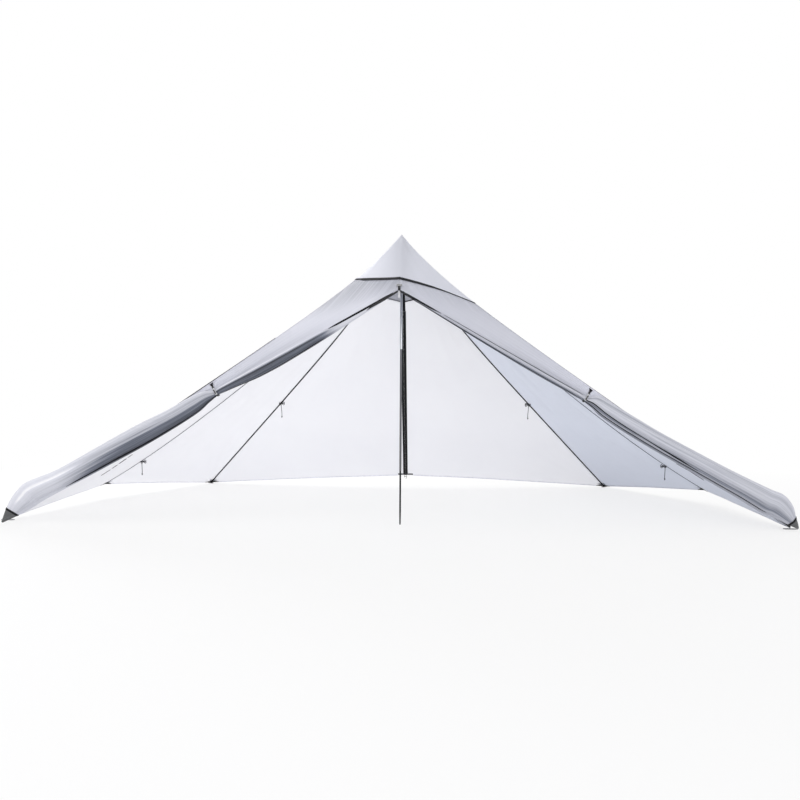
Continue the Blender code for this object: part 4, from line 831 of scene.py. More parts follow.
def roll_line(side):
    """Middles, half heights and half depths of a roll from the doorway's top to the corner, and the count
    of its rings above the tie-back."""
    ridge = f"{side}_ridge"
    edge, radius, plane = under_fold(side, np.linspace(0.03, 1.0, ROLL_UPPER))
    upper = edge - (radius + ROLL_CLEAR)[:, None] * plane
    throat_end = (TIE_REACH + THROAT) / seam_length(ridge)
    (lift, high), tip = WING[side], WING_TIP[side]
    along = unit(FEET[ridge] - PEAK)
    rise = facing(np.cross(along, FORWARD), UP)
    depth = WING_DEEP * (1 + PLEAT) + WING_CLEAR
    lower = seam_point(ridge, throat_end + (1 - throat_end) * WING_PLACE)
    lower = lower + lift[:, None] * rise + depth[:, None] * FORWARD
    throat = upper[-1] + np.outer((0.5, 1.0), THROAT * along)
    tall = np.concatenate([radius, [PINCH, PINCH], high, tip[:, 3]])
    deep = np.concatenate([radius, [PINCH, PINCH], WING_DEEP, tip[:, 4]])
    stations = np.column_stack([np.concatenate([upper, throat, lower, tip[:, :3]]), tall, deep])
    first, second = curve_through(stations[:ROLL_UPPER]), curve_through(stations[ROLL_UPPER - 1:])
    run = np.concatenate([first, second[1:]])
    return run[:, :3], run[:, 3], run[:, 4], len(first)


def path_way(points, reach):
    """Directions along a path, each between the places that reach before and after it."""
    run = run_length(points)
    ends = [np.clip(run + step, 0, run[-1]) for step in (-reach, reach)]
    before, after = [np.stack([np.interp(end, run, line) for line in points.T], axis=1) for end in ends]
    return unit(after - before)


def crease(x):
    """A row of sharp valleys between round humps: 2 |cos(x / 2)|^0.6 - 1."""
    return 2 * np.abs(np.cos(x / 2)) ** 0.6 - 1


def hump(value, middle, width):
    """A bell exp(-((value - middle) / width)^2)."""
    return np.exp(-((value - middle) / width) ** 2)


def roll_points(side):
    """Rings of the gathered door, each an oval from its top over the front to its bottom and back, with
    broad pleats and sharper creases that run along it and draw together at the tie-back."""
    middles, tall, deep, upper = roll_line(side)
    along = path_way(middles, TURN_REACH)
    rise = unit(UP - (along @ UP)[:, None] * along)
    front = facing(np.cross(along, rise), FORWARD)
    way = np.linspace(0, 1, len(middles))[:, None]
    phi = np.linspace(0, 2 * np.pi, ROLL_SIDES + 1)[None, :]
    turned = phi if side == "right" else -phi
    pleat = PLEAT * (0.58 * np.cos(3 * turned + 3.5 * way) + 0.42 * np.cos(5 * turned - 4.0 * way + 1.0))
    size = 1 + pleat * np.clip(way * 6 - 0.6, 0, 1)
    tie_way = (upper + 6) / len(middles)
    thin = np.where(np.abs(way - tie_way) < 0.03, 0.35, 1.0)
    fine = 0.042 * crease(9 * turned + 4.0 * way + 1.2 * np.sin(7 * way))
    fine = fine + 0.026 * crease(14 * turned - 6.0 * way)
    fine = fine + 0.035 * hump(way, tie_way + 0.05, 0.10) * crease(19 * turned + 2.0 * way)
    size = size + thin * fine * np.clip(way * 5 - 0.2, 0, 1) * (1 - 0.5 * ease(way, 0.8, 0.95))
    x, y = tall[:, None] * size * np.cos(phi), deep[:, None] * size * np.sin(phi)
    points = middles[:, None] + x[..., None] * rise[:, None] + y[..., None] * front[:, None]
    return points, way, phi, tie_way, size


def roll_shade(side, way, phi, tie_way, size):
    """The painted shade of the gathered cloth, 0 to 1, and below 0 a painted highlight: pale on top and at
    the corner, dark below and in the creases.
    """
    def past(start, stop):
        return ease(way, tie_way + start * (1 - tie_way), tie_way + stop * (1 - tie_way))

    valley = np.clip((1.0 - size) * 5.0, -0.4, 1.0)
    upper = 1 - ease(way, tie_way - 0.01, tie_way + 0.02)
    if side == "left":
        above = 0.10 + 0.52 * ease(phi, 0.95, 1.4) + 0.14 * ease(phi, 1.9, 2.6)
        above = above + 0.30 * hump(phi, 1.50, 0.10) - 0.12 * hump(phi, 1.85, 0.16)
        above = 0.08 + ease(way, 0.10, 0.16) * above
        dark = 0.06 + 0.14 * ease(phi, 0.4, 1.2) + 0.20 * ease(phi, 1.4, 1.9) + 0.52 * ease(phi, 1.8, 2.4)
        below = 0.05 + dark * (1 - 0.90 * past(0.38, 0.60))
        below = below - 0.34 * past(0.46, 0.56) * (1 - past(0.74, 0.82)) * hump(phi, 1.25, 0.10)
    else:
        above = 0.10 + 0.12 * ease(phi, 1.0, 1.2) + 0.30 * ease(phi, 1.6, 2.7)
        below = 0.15 * ease(phi, 1.7, 2.5) * (1 - 0.7 * ease(way, 0.62, 0.82))
        below = below + 0.165 + 0.09 * ease(phi, 0.5, 1.0)
    shade = upper * above + (1 - upper) * below
    return np.clip(shade + valley * (0.06 + 0.34 * np.maximum(shade, 0)), -0.25, 1)


door_cloth = cloth_finish("door_cloth", (0.80, 0.81, 0.90), (0.75, 0.76, 0.86), 0.22, shaded=True,
                          rounded=0.14)
rolled_cloth = cloth_finish("rolled_door_cloth", (0.78, 0.785, 0.85), (0.70, 0.71, 0.79), 0.0, shaded=True)
DOOR_ROWS, PAST_ROWS, DOOR_COLUMNS = 130, 16, 34
PAST_TIE, HELD_IN = 0.085, 0.0050
DOOR_FOLD, DOOR_FINE_FOLD = 0.0011, 0.0007
# how dark the painted shadow under the hood's rim lies on each door
HOOD_SHADOW = {"left": 0.20, "right": 0.09}
ROLL_END = ((0.88, 0.0006), (0.60, 0.0012), (0.20, 0.0014))
ROLL_RADIUS = 0.040
CAP_RINGS, CAP_STEP, BRIM_STEP = 20, 0.0014, 0.0024
rolls = {}
for side in ("left", "right"):
    ridge = f"{side}_ridge"
    tie = tie_place(ridge)
    t = np.sort(np.concatenate([np.linspace(TOP_RING, tie, DOOR_ROWS), [DOORWAY_TOP],
                                np.linspace(tie, tie + PAST_TIE, PAST_ROWS)[1:]]))
    root = seam_point(ridge, t)
    across = door_edge(ridge, t) - root
    t = t[:, None]
    across = across * (1 - 0.90 * ease(t, tie, tie + PAST_TIE))
    first = SEAM_GAP / 2 / np.linalg.norm(across, axis=1)[:, None]
    share = first + (1 - first) * np.linspace(0, 1, DOOR_COLUMNS)
    door_grid = root[:, None] + share[..., None] * across[:, None]
    pull = ease(t, 0.27, 0.47)
    fold = DOOR_FOLD * np.sin(13 * share + 2.2 * t) + DOOR_FINE_FOLD * np.sin(29 * share - 3.0 * t)
    fold = pull * fold * np.sin(np.pi * share) ** 0.7
    held_in = HELD_IN * hump(t, tie + 0.0045, 0.007) * ease(share, 0.05, 0.3)
    door_grid = door_grid + (fold - held_in)[..., None] * facing(normals(door_grid), FORWARD)
    # Painted shade on the taut door: darker towards its fold, with faint streaks, a painted highlight along
    # the left fold's crease, and a painted shadow under the hood's rim near the top.
    streak = 0.03 * np.sin(40 * share + 3 * t) + 0.02 * np.sin(77 * share)
    if side == "left":
        painted_shade = 0.06 + pull * (0.02 + streak + 0.10 * ease(share, 0.35, 0.8) - 0.36 * ease(share, 0.90, 0.98))
    else:
        painted_shade = 0.05 + pull * (streak + 0.12 * ease(share, 0.45, 0.95))
    hood_rim = rim_place("front")
    painted_shade = painted_shade + HOOD_SHADOW[side] * (1 - ease(t, hood_rim - 0.03, hood_rim + 0.10))
    door = piece(f"{side}_door_taut_cloth", door_grid, door_cloth, [f"{side}_door_top"], form="open",
                 shade=np.clip(painted_shade, -0.25, 1), outside=TENT_MIDDLE)
    stretched_sheet(door, door_grid, "pole_top_plug")

    points, way, phi, tie_way, size = roll_points(side)
    rolls[side] = (points, way[:, 0])
    rim, middle = points[-1], points[-1, :-1].mean(axis=0)
    end_way = unit((points[-1] - points[-2]).mean(axis=0))
    closing = [middle + shrink * (rim - middle) + step * end_way for shrink, step in ROLL_END]
    grid = np.concatenate([points, closing])
    shade = roll_shade(side, way, phi, tie_way, size)
    piece(f"{side}_door_gathered_cloth", grid, rolled_cloth, [f"{side}_door_roll"],
          uv=paired(phi * ROLL_RADIUS, run_length(grid[:, :-1].mean(axis=1))[:, None]),
          shade=np.concatenate([shade, np.repeat(shade[-1:], len(closing), axis=0)]))
    cap = grid[-CAP_RINGS:]
    off = unit(cap - cap[:, :-1].mean(axis=1, keepdims=True))
    piece(f"front_{side}_corner_cap", cap + CAP_STEP * off, patch_cloth)
    piece(f"front_{side}_corner_cap_edge", (cap + BRIM_STEP * off)[:3], patch_edge)

# On the rolls lies the doors' own zip tape: a black edge that runs down from the doorway under each fold, and
# below the tie-back shows as dark lines along the gathered cloth. The thin fold ribbon on the right roll is
# no tape but a painted shadow, a dark line along the crease where the taut door turns under.

# start and stop along the roll, angle round it at both, width
ROLL_TAPES = {
    "left": (("top", 0.0, 0.13, 1.25, 1.1, 0.012), ("lower", 0.14, 0.36, 2.75, 2.75, 0.005),
             ("bottom", 0.42, 0.74, 2.45, 2.8, 0.006)),
    "right": (("top", 0.0, 0.07, 1.35, 1.2, 0.010), ("fold", 0.07, 0.37, 1.10, 1.2, 0.0018),
              ("lower", 0.02, 0.37, 2.55, 2.6, 0.004), ("upper", 0.425, 0.68, 1.7, 2.45, 0.005),
              ("bottom", 0.425, 0.81, 2.5, 2.68, 0.004)),
}
# across the tape, and its height over the roll
TAPE_SECTION = ((-1, 0.0006), (-0.5, 0.0016), (0.5, 0.0016), (1, 0.0006), (0, -0.0002))


def roll_tape(side, start, stop, phi_start, phi_stop, width):
    """A ribbon on a roll: it reads the roll's own rings between two ways, at an angle that shifts evenly."""
    points, way = rolls[side]
    keep = (way >= start) & (way <= stop)
    rows, w = points[keep], way[keep]
    centre = rows[:, :-1].mean(axis=1)
    angle = np.interp(w, (start, stop), (phi_start, phi_stop))
    radius = np.linalg.norm(rows - centre[:, None], axis=2).mean(axis=1)
    taper = np.minimum(ease(w, start - 0.001, start + 0.02), 1 - ease(w, stop - 0.03, stop + 0.001))
    taper = np.minimum(1, taper + 0.15)
    index = np.arange(len(rows))
    lines = []
    for across, lift in TAPE_SECTION:
        spot = (angle + across * width * taper / 2 / radius) / (2 * np.pi) * ROLL_SIDES
        low = np.floor(spot).astype(int)
        part = (spot - low)[:, None]
        edge = (1 - part) * rows[index, low % ROLL_SIDES] + part * rows[index, (low + 1) % ROLL_SIDES]
        lines.append(edge + lift * unit(edge - centre))
    return closed_ring(lines)


zip_tape = tape_finish("zip_tape", (0.009, 0.009, 0.011), (0.03, 0.03, 0.034), rows=(0.0052,), roughness=0.6)
for side, tapes in ROLL_TAPES.items():
    for label, *numbers in tapes:
        piece(f"{side}_roll_{label}_tape", roll_tape(side, *numbers), zip_tape)

# The ridges: on each the door is sewn to the front side panel in a felled seam of the canopy's own cloth. A
# dark piping, thicker on the left, is caught in it over the upper half.

PIPING_LOW, RIDGE_WING, RIDGE_CLEAR = FABRIC + 0.0011, 0.0058, 0.0012
ridge_cloth = tape_finish("ridge_seam_cloth", (0.62, 0.62, 0.70), (0.80, 0.80, 0.86), rows=(0.0040, 0.0012))
for side, wide, start, cover in (("left", 0.0022, 0.33, black_tape), ("right", 0.0008, 0.20, grey_tape)):
    ridge = f"{side}_ridge"
    below_rim = rim_place(ridge) + (RIM_WIDTH + RIDGE_CLEAR) / seam_length(ridge)
    strip(f"{side}_ridge_felled_seam", ridge, below_rim, 1 - (PATCH_REACH + 0.0003) / seam_length(ridge),
          RIDGE_WING, (FABRIC + 0.0003, PIPING_LOW), ridge_cloth, [f"{side}_ridge_binding"],
          doorway=door_way)
    strip(f"{side}_ridge_piping", ridge, start, 0.60, wide, (PIPING_LOW, PIPING_LOW + 0.6 * wide), cover,
          doorway=door_way)

# The tie-backs: a strap of webbing hangs from each ridge seam round the pinched roll, black where it is sewn
# in and pale lower down, and a moulded toggle holds it at the front.

STRAP_WIDTH, STRAP_THICK, STRAP_ROOM = 0.010, 0.0012, 0.0018
# round the strap: share of its thickness outwards, share of its half width
STRAP_SECTION = np.array([(0, -0.7), (0.3, -1), (0.7, -1), (1, -0.7), (1, 0.7), (0.7, 1), (0.3, 1), (0, 0.7)])
TAB_LENGTH, TAB_HALF_WIDTHS, TAB_FACES = 0.021, (0.0125, 0.0125, 0.0052), (0.0002, 0.0014)
TOGGLE_LENGTH, TOGGLE_RADIUS, TOGGLE_ROOM = 0.026, 0.0032, 0.0003
# along the toggle from one end to its waist: share of its length, share of its radius
TOGGLE_HALF = np.array([(-0.5, 0.0), (-0.5, 0.45), (-0.492, 0.66), (-0.475, 0.85), (-0.43, 1.0), (-0.36, 1.0),
                        (-0.2, 0.88), (-0.08, 0.86), (-0.03, 0.62)])
strap_webbing = Finish("strap_webbing")
strap_u, strap_v, _ = strap_webbing.uv()
strap_rib = strap_v.ribs(0.0012) * strap_u.ribs(0.0010)
strap_dark = strap_webbing.node("Attribute", {"attribute_name": "shade"}, out="Fac")
strap_webbing.set(
    Base_Color=strap_webbing.mix(strap_dark, (0.62, 0.63, 0.65), (0.012, 0.012, 0.014)),
    Roughness=0.7 + strap_rib * 0.1,
    Normal=strap_webbing.bump(strap_rib * 0.0002, 0.7),
)
toggle_plastic = Finish("toggle_plastic")
toggle_grain = toggle_plastic.noise(toggle_plastic.place(), 900.0, 3.0)
toggle_worn = toggle_plastic.noise(toggle_plastic.place(), 90.0, 4.0)
toggle_plastic.set(
    Base_Color=toggle_plastic.mix(toggle_worn.clamp(), (0.020, 0.020, 0.023), (0.055, 0.055, 0.06)),
    Roughness=0.38 + toggle_worn * 0.2,
    Normal=toggle_plastic.bump(toggle_grain * 0.00008, 0.5),
    Specular_IOR_Level=0.5,
)


def teardrop(radius, reach, up, front):
    """A loop round a circle, drawn to a point on its upper side: radius / cos(lean - |turn|) above where
    the tangents leave it at the lean."""
    lean = math.acos(radius / reach)
    turn = np.linspace(-np.pi, np.pi, 97)
    size = radius / np.cos(np.maximum(0, lean - np.abs(turn)))
    return (size * np.cos(turn))[:, None] * up + (size * np.sin(turn))[:, None] * front, lean


for side in ("left", "right"):
    ridge = f"{side}_ridge"
    middles, _, _, upper = roll_line(side)
    along = unit(FEET[ridge] - PEAK)
    tie_middle = middles[upper - 1] + 0.5 * THROAT * along
    place = np.array([(TIE_REACH + THROAT / 2) / seam_length(ridge)])
    hook_up = level(*seam_frame(ridge, place, door_way(ridge, place)), TAPE_FACES[1])[0] - tie_middle
    hook_up = hook_up - (hook_up @ along) * along
    up_way, reach = unit(hook_up), float(np.linalg.norm(hook_up))
    front_way = facing(np.cross(along, up_way), FORWARD)
    radius = PINCH * (1 + PLEAT) + STRAP_ROOM + STRAP_THICK
    outer, lean = teardrop(radius, reach, up_way, front_way)
    section = np.concatenate([STRAP_SECTION, STRAP_SECTION[:1]])
    ring = outer[:, None] * (1 - (1 - section[:, :1]) * STRAP_THICK / radius)
    ring = ring + section[:, 1:] * STRAP_WIDTH / 2 * along + tie_middle
    height = (outer @ up_way + radius) / (reach + radius)
    dark = ease(height, 0.50, 0.56) * (1 - ease(height, 0.80, 0.86)) + 1 - ease(height, 0.02, 0.08)
    piece(f"{side}_tie_loop", ring, strap_webbing, [f"{side}_tie_strap"], form="ring",
          uv=paired(section[:, 1] * STRAP_WIDTH / 2, run_length(outer)[:, None]),
          shade=np.broadcast_to(dark[:, None], ring.shape[:2]), angle=60)

    face = math.cos(lean) * up_way + math.sin(lean) * front_way
    down_strap = unit(radius * face - reach * up_way)
    drop = np.linspace(0.0, 1.0, 14)[:, None]
    line = tie_middle + reach * up_way + TAB_LENGTH * drop * down_strap
    half = np.interp(drop, (0.0, 0.12, 1.0), TAB_HALF_WIDTHS) * along
    low, high = [line + lift * face for lift in TAB_FACES]
    piece(f"{side}_tie_tab", closed_ring([low - half, high - half, high + half, low + half]), black_tape,
          angle=40)

    centre = tie_middle + (radius + TOGGLE_RADIUS + TOGGLE_ROOM) * front_way
    profile = np.concatenate([TOGGLE_HALF, TOGGLE_HALF[::-1] * (-1, 1)]) * (TOGGLE_LENGTH, TOGGLE_RADIUS)
    line, radii = centre + profile[:, :1] * up_way, profile[:, 1:]
    piece(f"{side}_moulded_toggle", rod(line, radii * front_way, radii * along, 33), toggle_plastic,
          [f"{side}_toggle"], form="ring", body=f"{side}_tie_toggle", angle=45)

# The pole: three telescopic aluminium tubes with a twist-lock where each pair meets, on a plastic tip. They
# are finished silver above, grey in the middle and black below, a darkening down the pole that is painted
# reflection and shade. Its top plug sits in the cup that is sewn under the peak.


def tube_finish(name, colour, worn_colour, roughness, metallic):
    """Drawn aluminium: fine rings round it from the brushing, faint long scratches, and dull patches."""
    f = Finish(name)
    place = f.place()
    brushed = f.noise(f.stretched(place, 18.0, 18.0, 900.0), 1.0, 3.0, 0.6)
    scratch = f.noise(f.stretched(place, 420.0, 420.0, 9.0), 1.0, 4.0, 0.6)
    patch = f.noise(f.stretched(place, 30.0, 30.0, 6.0), 1.0, 3.0, 0.5)
    shade = (brushed - 0.5) * 0.5 + (patch - 0.45) * 0.8 + (scratch - 0.62).clamp() * 1.6
    return f.set(Base_Color=f.mix(shade.clamp(), colour, worn_colour), Metallic=metallic,
                 Roughness=roughness + (patch - 0.5) * 0.22 + (scratch - 0.6).clamp() * 0.5,
                 Normal=f.bump(brushed * 0.00004 + scratch * 0.00003, 0.5))


def plastic_finish(name, colour, scale):
    """Moulded plastic: a fine matt grain, rubbed lighter in places."""
    f = Finish(name)
    grain, rubbed = f.noise(f.place(), scale, 3.0, 0.6), f.noise(f.place(), scale / 14, 4.0, 0.6)
    worn = tuple(2.2 * part + 0.01 for part in colour)
    return f.set(Base_Color=f.mix((rubbed - 0.3).clamp(), colour, worn),
                 Roughness=0.45 + (rubbed - 0.5) * 0.3, Normal=f.bump(grain * 0.00008, 0.6))


def finish_node(name, finish):
    """Gives a CAD node its material."""
    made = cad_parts[name]
    made.data.materials.clear()
    made.data.materials.append(finish.owner)


silver_tube = tube_finish("silver_tube", (0.63, 0.64, 0.66), (0.40, 0.41, 0.43), 0.28, 0.9)
black_tube = tube_finish("black_tube", (0.010, 0.010, 0.012), (0.035, 0.035, 0.038), 0.38, 0.3)
black_tube.set(Specular_IOR_Level=0.15)
grey_tube = tube_finish("grey_tube", (0.13, 0.13, 0.14), (0.24, 0.24, 0.25), 0.30, 0.8)
black_plastic = plastic_finish("black_plastic", (0.018, 0.018, 0.019), 700.0)
finish_node("pole_upper_tube", silver_tube)
finish_node("pole_middle_tube", grey_tube)
finish_node("pole_lower_tube", black_tube)
for name in ("pole_tip", "pole_top_plug", "upper_expander", "lower_expander"):
    finish_node(name, black_plastic)

# The cup is a cone of black webbing round the pole's axis, sewn under the peak and closed over the plug. Its
# mouth is hemmed.

cup_webbing = tape_finish("cup_webbing", (0.03, 0.03, 0.033), (0.12, 0.12, 0.12), rows=(0.004,))
(_, _, cup_low), (cup_wide, _, cup_top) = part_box("pole_cup")
# height, radius
cup_line = np.array([
    (cup_low, cup_wide - 0.0016), (cup_low, cup_wide - 0.0002), (cup_low + 0.0006, cup_wide),
    (cup_low + 0.004, cup_wide), (cup_low + 0.0046, cup_wide - 0.0004), (1.4091, cup_wide - 0.0003),
    (1.4120, cup_wide - 0.0012), (1.4240, cup_wide * 0.55), (cup_top - 0.006, cup_wide * 0.14),
    (cup_top, 0.0), (1.4123, 0.0), (1.4118, 0.0052), (1.4108, 0.0080), (1.4088, cup_wide - 0.0016),
    (cup_low, cup_wide - 0.0016),
])
cup_spokes = cup_line[:, 1:] * np.array([1.0, 0.0, 0.0]), cup_line[:, 1:] * np.array([0.0, 1.0, 0.0])
piece("pole_cup_webbing", rod(cup_line[:, :1] * UP, *cup_spokes, 49), cup_webbing, ["pole_cup"],
      form="ring", angle=40)

# The rear zip, sewn shut from the hood to the hem: two tapes with a closed nylon coil between them, a
# slider that rests low with a hanging pull, a strap of webbing across the hem and a flat hook below it.

zip_coil_finish = plastic_finish("zip_coil_nylon", (0.020, 0.020, 0.022), 1500.0)
zip_metal = tube_finish("zip_black_metal", (0.03, 0.03, 0.032), (0.10, 0.10, 0.10), 0.40, 0.6)
pull_metal = tube_finish("pull_metal", (0.66, 0.66, 0.68), (0.42, 0.42, 0.44), 0.34, 0.7)
# rows of x, y and z; columns across the zip, along it, towards the inside, and the place of its zero
REAR_FRAME = np.array([
    (1.0, 0.0, 0.0, 0.0), (0.0, -0.71666, -0.69742, 1.40471), (0.0, 0.69742, -0.71666, 0.083)])
FRONT_FRAME = np.array([
    (-1.0, 0.0, 0.0, 0.0), (0.0, 0.72763, 0.68597, -0.36127), (0.0, 0.68597, -0.72763, 1.10694)])


def in_frame(place, points):
    """Points (across, along the zip, towards the inside) put into the tent."""
    return points @ place[:, :3].T + place[:, 3]


def band(name, place, across, heights, along, finish, replaces=(), rows=40):
    """A flat strip with softly rounded long edges, its UV in metres from its middle line."""
    (low, high), half = heights, (across[1] - across[0]) / 2
    rim = min(0.25 * (high - low), 0.2 * half)
    flat = half - rim
    lower = np.array([(-half, low + rim), (-flat, low), (0.0, low), (flat, low), (half, low + rim)])
    line = np.concatenate([lower, (0.0, low + high) + lower[::-1] * (1, -1), lower[:1]])
    run = np.linspace(*along, rows)[:, None]
    grid = np.stack(np.broadcast_arrays(sum(across) / 2 + line[:, 0], run, line[:, 1]), axis=-1)
    piece(name, in_frame(place, grid), finish, replaces, uv=paired(line[:, 0], run), angle=40)


def coil(place, width, heights, along, pitch, wire):
    """The meshed teeth: one flattened helix, x = a cos(h), z = b sin(h), y rising by the pitch each turn."""
    turns = int((along[1] - along[0]) / pitch)
    h = np.linspace(0, 2 * np.pi * turns, 12 * turns + 1)
    middle, lift = sum(heights) / 2, (heights[1] - heights[0]) / 2 - wire
    line = [(width / 2 - wire) * np.cos(h), along[0] + pitch * h / (2 * np.pi), middle + lift * np.sin(h)]
    line = np.stack(line, axis=1)
    way = unit(np.gradient(line, axis=0))
    side = wire * unit(np.cross(way, [0.0, 1.0, 0.0]))
    return in_frame(place, rod(line, side, np.cross(way, side), 6))


for label, across in (("left", (-0.0163, -0.0003)), ("right", (0.0003, 0.0163))):
    band(f"rear_zip_{label}_woven_tape", REAR_FRAME, across, (0.0003, 0.0011), (0.006, 1.4953), zip_tape,
         [f"rear_zip_{label}_tape"], rows=300)
piece("rear_zip_nylon_coil", coil(REAR_FRAME, 0.0052, (0.0014, 0.0034), (0.032, 1.4913), 0.0020, 0.00042),
      zip_coil_finish, ["rear_zip_coil"], angle=80)
hem_webbing = tape_finish("hem_strap_webbing", (0.035, 0.035, 0.038), (0.15, 0.15, 0.15), rows=(0.05, 0.047))
band("rear_hem_webbing", REAR_FRAME[:, [1, 0, 2, 3]], (0.008, 0.022), (0.0014, 0.0029), (-0.055, 0.055),
     hem_webbing, ["rear_hem_strap"])
finish_node("rear_zip_slider", zip_metal)
finish_node("front_zip_slider", zip_metal)
finish_node("rear_zip_pull", zip_metal)
finish_node("front_zip_pull", pull_metal)
finish_node("rear_hem_hook", black_plastic)

# The front zip's top: its two tapes part at the doorway under the slider and run on under each fold, and a
# bar tack closes the zip above the pull.

FRONT_TAPE_WIDTH, FRONT_TAPE_THICK = 0.0152, 0.0008
# where the tape stops down the fold, where it passes behind the roll, how much wider it shows before
FRONT_TAPES = {"left": (0.36, (0.13, 0.20), 0.65), "right": (0.30, (0.05, 0.10), 0.15)}
for side, (stop, hides, full) in FRONT_TAPES.items():
    share = np.linspace(0.008, stop, 70)
    edge, radius, plane = under_fold(side, share)
    fall = facing(unit(np.cross(plane, np.gradient(edge, axis=0))), -UP)
    ahead = (radius * 1.3 + 0.001) * (1 - 2 * ease(share, *hides))
    drop = ROLL_CLEAR - radius * 0.44
    top = edge - (radius + ROLL_CLEAR)[:, None] * plane + drop[:, None] * fall + ahead[:, None] * FORWARD
    wide = 1 + full * np.sin(np.pi * np.clip(share / hides[1], 0, 1))
    wide = (FRONT_TAPE_WIDTH * np.linspace(1, 0.55, len(share)) * wide)[:, None] * fall
    lines = [top + q * wide for q in (0.0, 0.33, 0.67, 1.0)]
    lines += [line + FRONT_TAPE_THICK * FORWARD for line in lines[::-1]]
    piece(f"front_zip_{side}_woven_tape", closed_ring(lines), zip_tape, [f"front_zip_{side}_tape"],
          angle=40)

tack_thread = tape_finish("bar_tack_thread", (0.30, 0.30, 0.31), (0.45, 0.45, 0.46), rows=(0.008, 0.004),
                          pitch=0.0016)
band("front_zip_bar_tack", FRONT_FRAME, (-0.0125, 0.0125), (-0.0028, -0.0013), (0.024, 0.040), tack_thread,
     rows=12)
band("front_zip_closed_end", FRONT_FRAME, (-0.0052, 0.0052), (-0.0026, -0.0014), (-0.006, 0.0235), zip_tape,
     rows=16)

# Inside each front side panel the door's zip ends in a short run of stitched tape, black on the left and from
# its third part grey on the right.

TAPE_INSIDE = (0.0028, 0.0038)
# start and stop as (share across, place down), then width
PANEL_TAPES = {
    "left": ((0.545, 0.787, 0.545, 0.801, 0.0060), (0.545, 0.806, 0.548, 0.829, 0.0120),
             (0.549, 0.835, 0.553, 0.852, 0.0095), (0.552, 0.858, 0.540, 0.884, 0.0080)),
    "right": ((0.460, 0.806, 0.515, 0.829, 0.0090), (0.525, 0.829, 0.558, 0.870, 0.0060),
              (0.550, 0.826, 0.578, 0.864, 0.0060)),
}
for side, tapes in PANEL_TAPES.items():
    for number, (s0, t0, s1, t1, wide) in enumerate(tapes):
        down = np.linspace((s0, t0), (s1, t1), 12)
        seams = PANELS[f"{side}_front_side_panel"]
        grid = surface_point(*seams, down[:, :1] + (-0.001, 0.0, 0.001), down[:, 1:])
        line = grid[:, 1]
        inner = facing(normals(grid)[:, 1], TENT_MIDDLE - line)
        beside = wide / 2 * unit(np.cross(unit(np.gradient(line, axis=0)), inner))
        low, high = [line + lift * inner for lift in TAPE_INSIDE]
        piece(f"{side}_door_end_tape_{number}",
              closed_ring([low - beside, high - beside, high + beside, low + beside]),
              grey_tape if side == "right" and number == 2 else zip_tape, angle=40)

# The tie cords: from each rear corner seam and each side seam hangs a thin braided cord, with a bead and two
# flat bows close under the tape that holds it and a knot at its end.

CORD_RADIUS, KNOT_RADIUS, BEAD_RADIUS = 0.0017, 0.0040, 0.0042
KNOT_HALF, BEAD_HALF = 0.0042, 0.0030
TAB_DEPTH, TAB_RISE = -0.00472, 0.00176
BRAID_RATE, BRAID_HEIGHT = 1047, 0.05
BOW_REACH, BOW_HALF, BOW_DEEP, BOW_OFF, BOW_OUT = 0.0170, 0.0062, 0.0022, 0.0035, 0.014
# seam, place down it, length, sway
CORDS = {
    "rear_left_tie_cord": ("left_corner", 0.545, 0.094, 0.007),
    "rear_right_tie_cord": ("right_corner", 0.545, 0.094, -0.007),
    "side_left_tie_cord": ("left_side", 0.856, 0.086, 0.0035),
    "side_right_tie_cord": ("right_side", 0.856, 0.086, -0.0035),
}
cord_finish = Finish("cord_braid")
cord_twist = cord_finish.noise(cord_finish.stretched(cord_finish.place(), 1600.0, 1600.0, 700.0), 1.0, 2.0)
cord_finish.set(
    Base_Color=cord_finish.mix((cord_twist * 1.6 - 0.3).clamp(), (0.008, 0.008, 0.010), (0.05, 0.05, 0.055)),
    Roughness=0.8 + (cord_twist - 0.5) * 0.2,
    Normal=cord_finish.bump(cord_twist * 0.0003, 0.8),
)
around = np.linspace(0, 2 * np.pi, 13)[:, None]
rise = np.linspace(-1, 1, 25)[:, None]
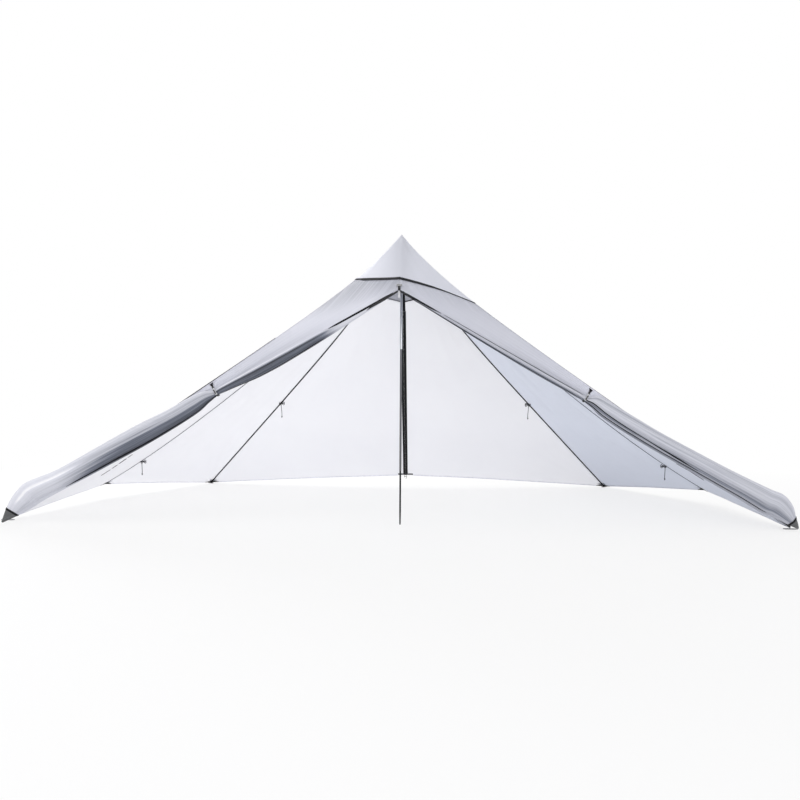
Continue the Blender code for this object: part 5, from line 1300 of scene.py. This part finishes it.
turn = np.linspace(0, 2 * np.pi, 25)
ball = np.sqrt(np.clip(1 - rise**2, 0, 1))
for name, (seam, place, length, sway) in CORDS.items():
    here, sides = seam_frame(seam, np.array([place]))
    down = np.linspace(0, 1, 160)
    hang = np.stack([sway * np.sin(2.4 * down) * down, 0 * down, TAB_RISE - down * length], axis=1)
    line = level(here, sides, TAB_DEPTH)[0] + hang
    braid = sum(np.cos(4 * around + strand * length * down) for strand in (BRAID_RATE, -BRAID_RATE))
    spokes = np.concatenate([np.cos(around), np.sin(around), 0 * around], axis=1)
    ring = line[:, None] + (CORD_RADIUS * (1 + BRAID_HEIGHT * braid)).T[..., None] * spokes
    cord = piece(f"{name}_braid", ring, cord_finish, [name], angle=80)
    inward = -unit((sides[0][1] + sides[1][1])[0] * (1, 1, 0))
    bow = np.linspace(0, 2 * np.pi, 97)
    for number, tilt in enumerate((0.35, -0.30)):
        wide, high = BOW_REACH * np.sin(bow), BOW_HALF * np.sin(2 * bow)
        eight = np.stack([wide * math.cos(tilt) - high * math.sin(tilt),
                          BOW_DEEP * np.cos(bow) * math.copysign(1, tilt) - BOW_OFF,
                          wide * math.sin(tilt) + high * math.cos(tilt)], axis=1) + line[3] + BOW_OUT * inward
        way = unit(np.roll(eight[:-1], -1, axis=0) - np.roll(eight[:-1], 1, axis=0))
        beside = CORD_RADIUS * unit(np.cross(way, [0.0, 1.0, 0.02]))
        hoop = rod(eight[:-1], beside, np.cross(way, beside), len(around))
        hoop = np.concatenate([hoop, hoop[:1]])
        piece(f"{name}_bow_{number}", hoop, cord_finish, form="ring", angle=80)
    size = ball * (1 + 0.10 * np.cos(3 * turn + 5.5 * rise) * ball)
    for label, centre, wide, tall in (("knot", line[-14], KNOT_RADIUS, KNOT_HALF),
                                      ("bead", line[3], BEAD_RADIUS, BEAD_HALF)):
        blob = [wide * size * np.cos(turn), wide * size * np.sin(turn), tall * rise + 0 * size]
        piece(f"{name}_{label}", np.stack(blob, axis=-1) + centre, cord_finish,
                          form="ring", angle=80)
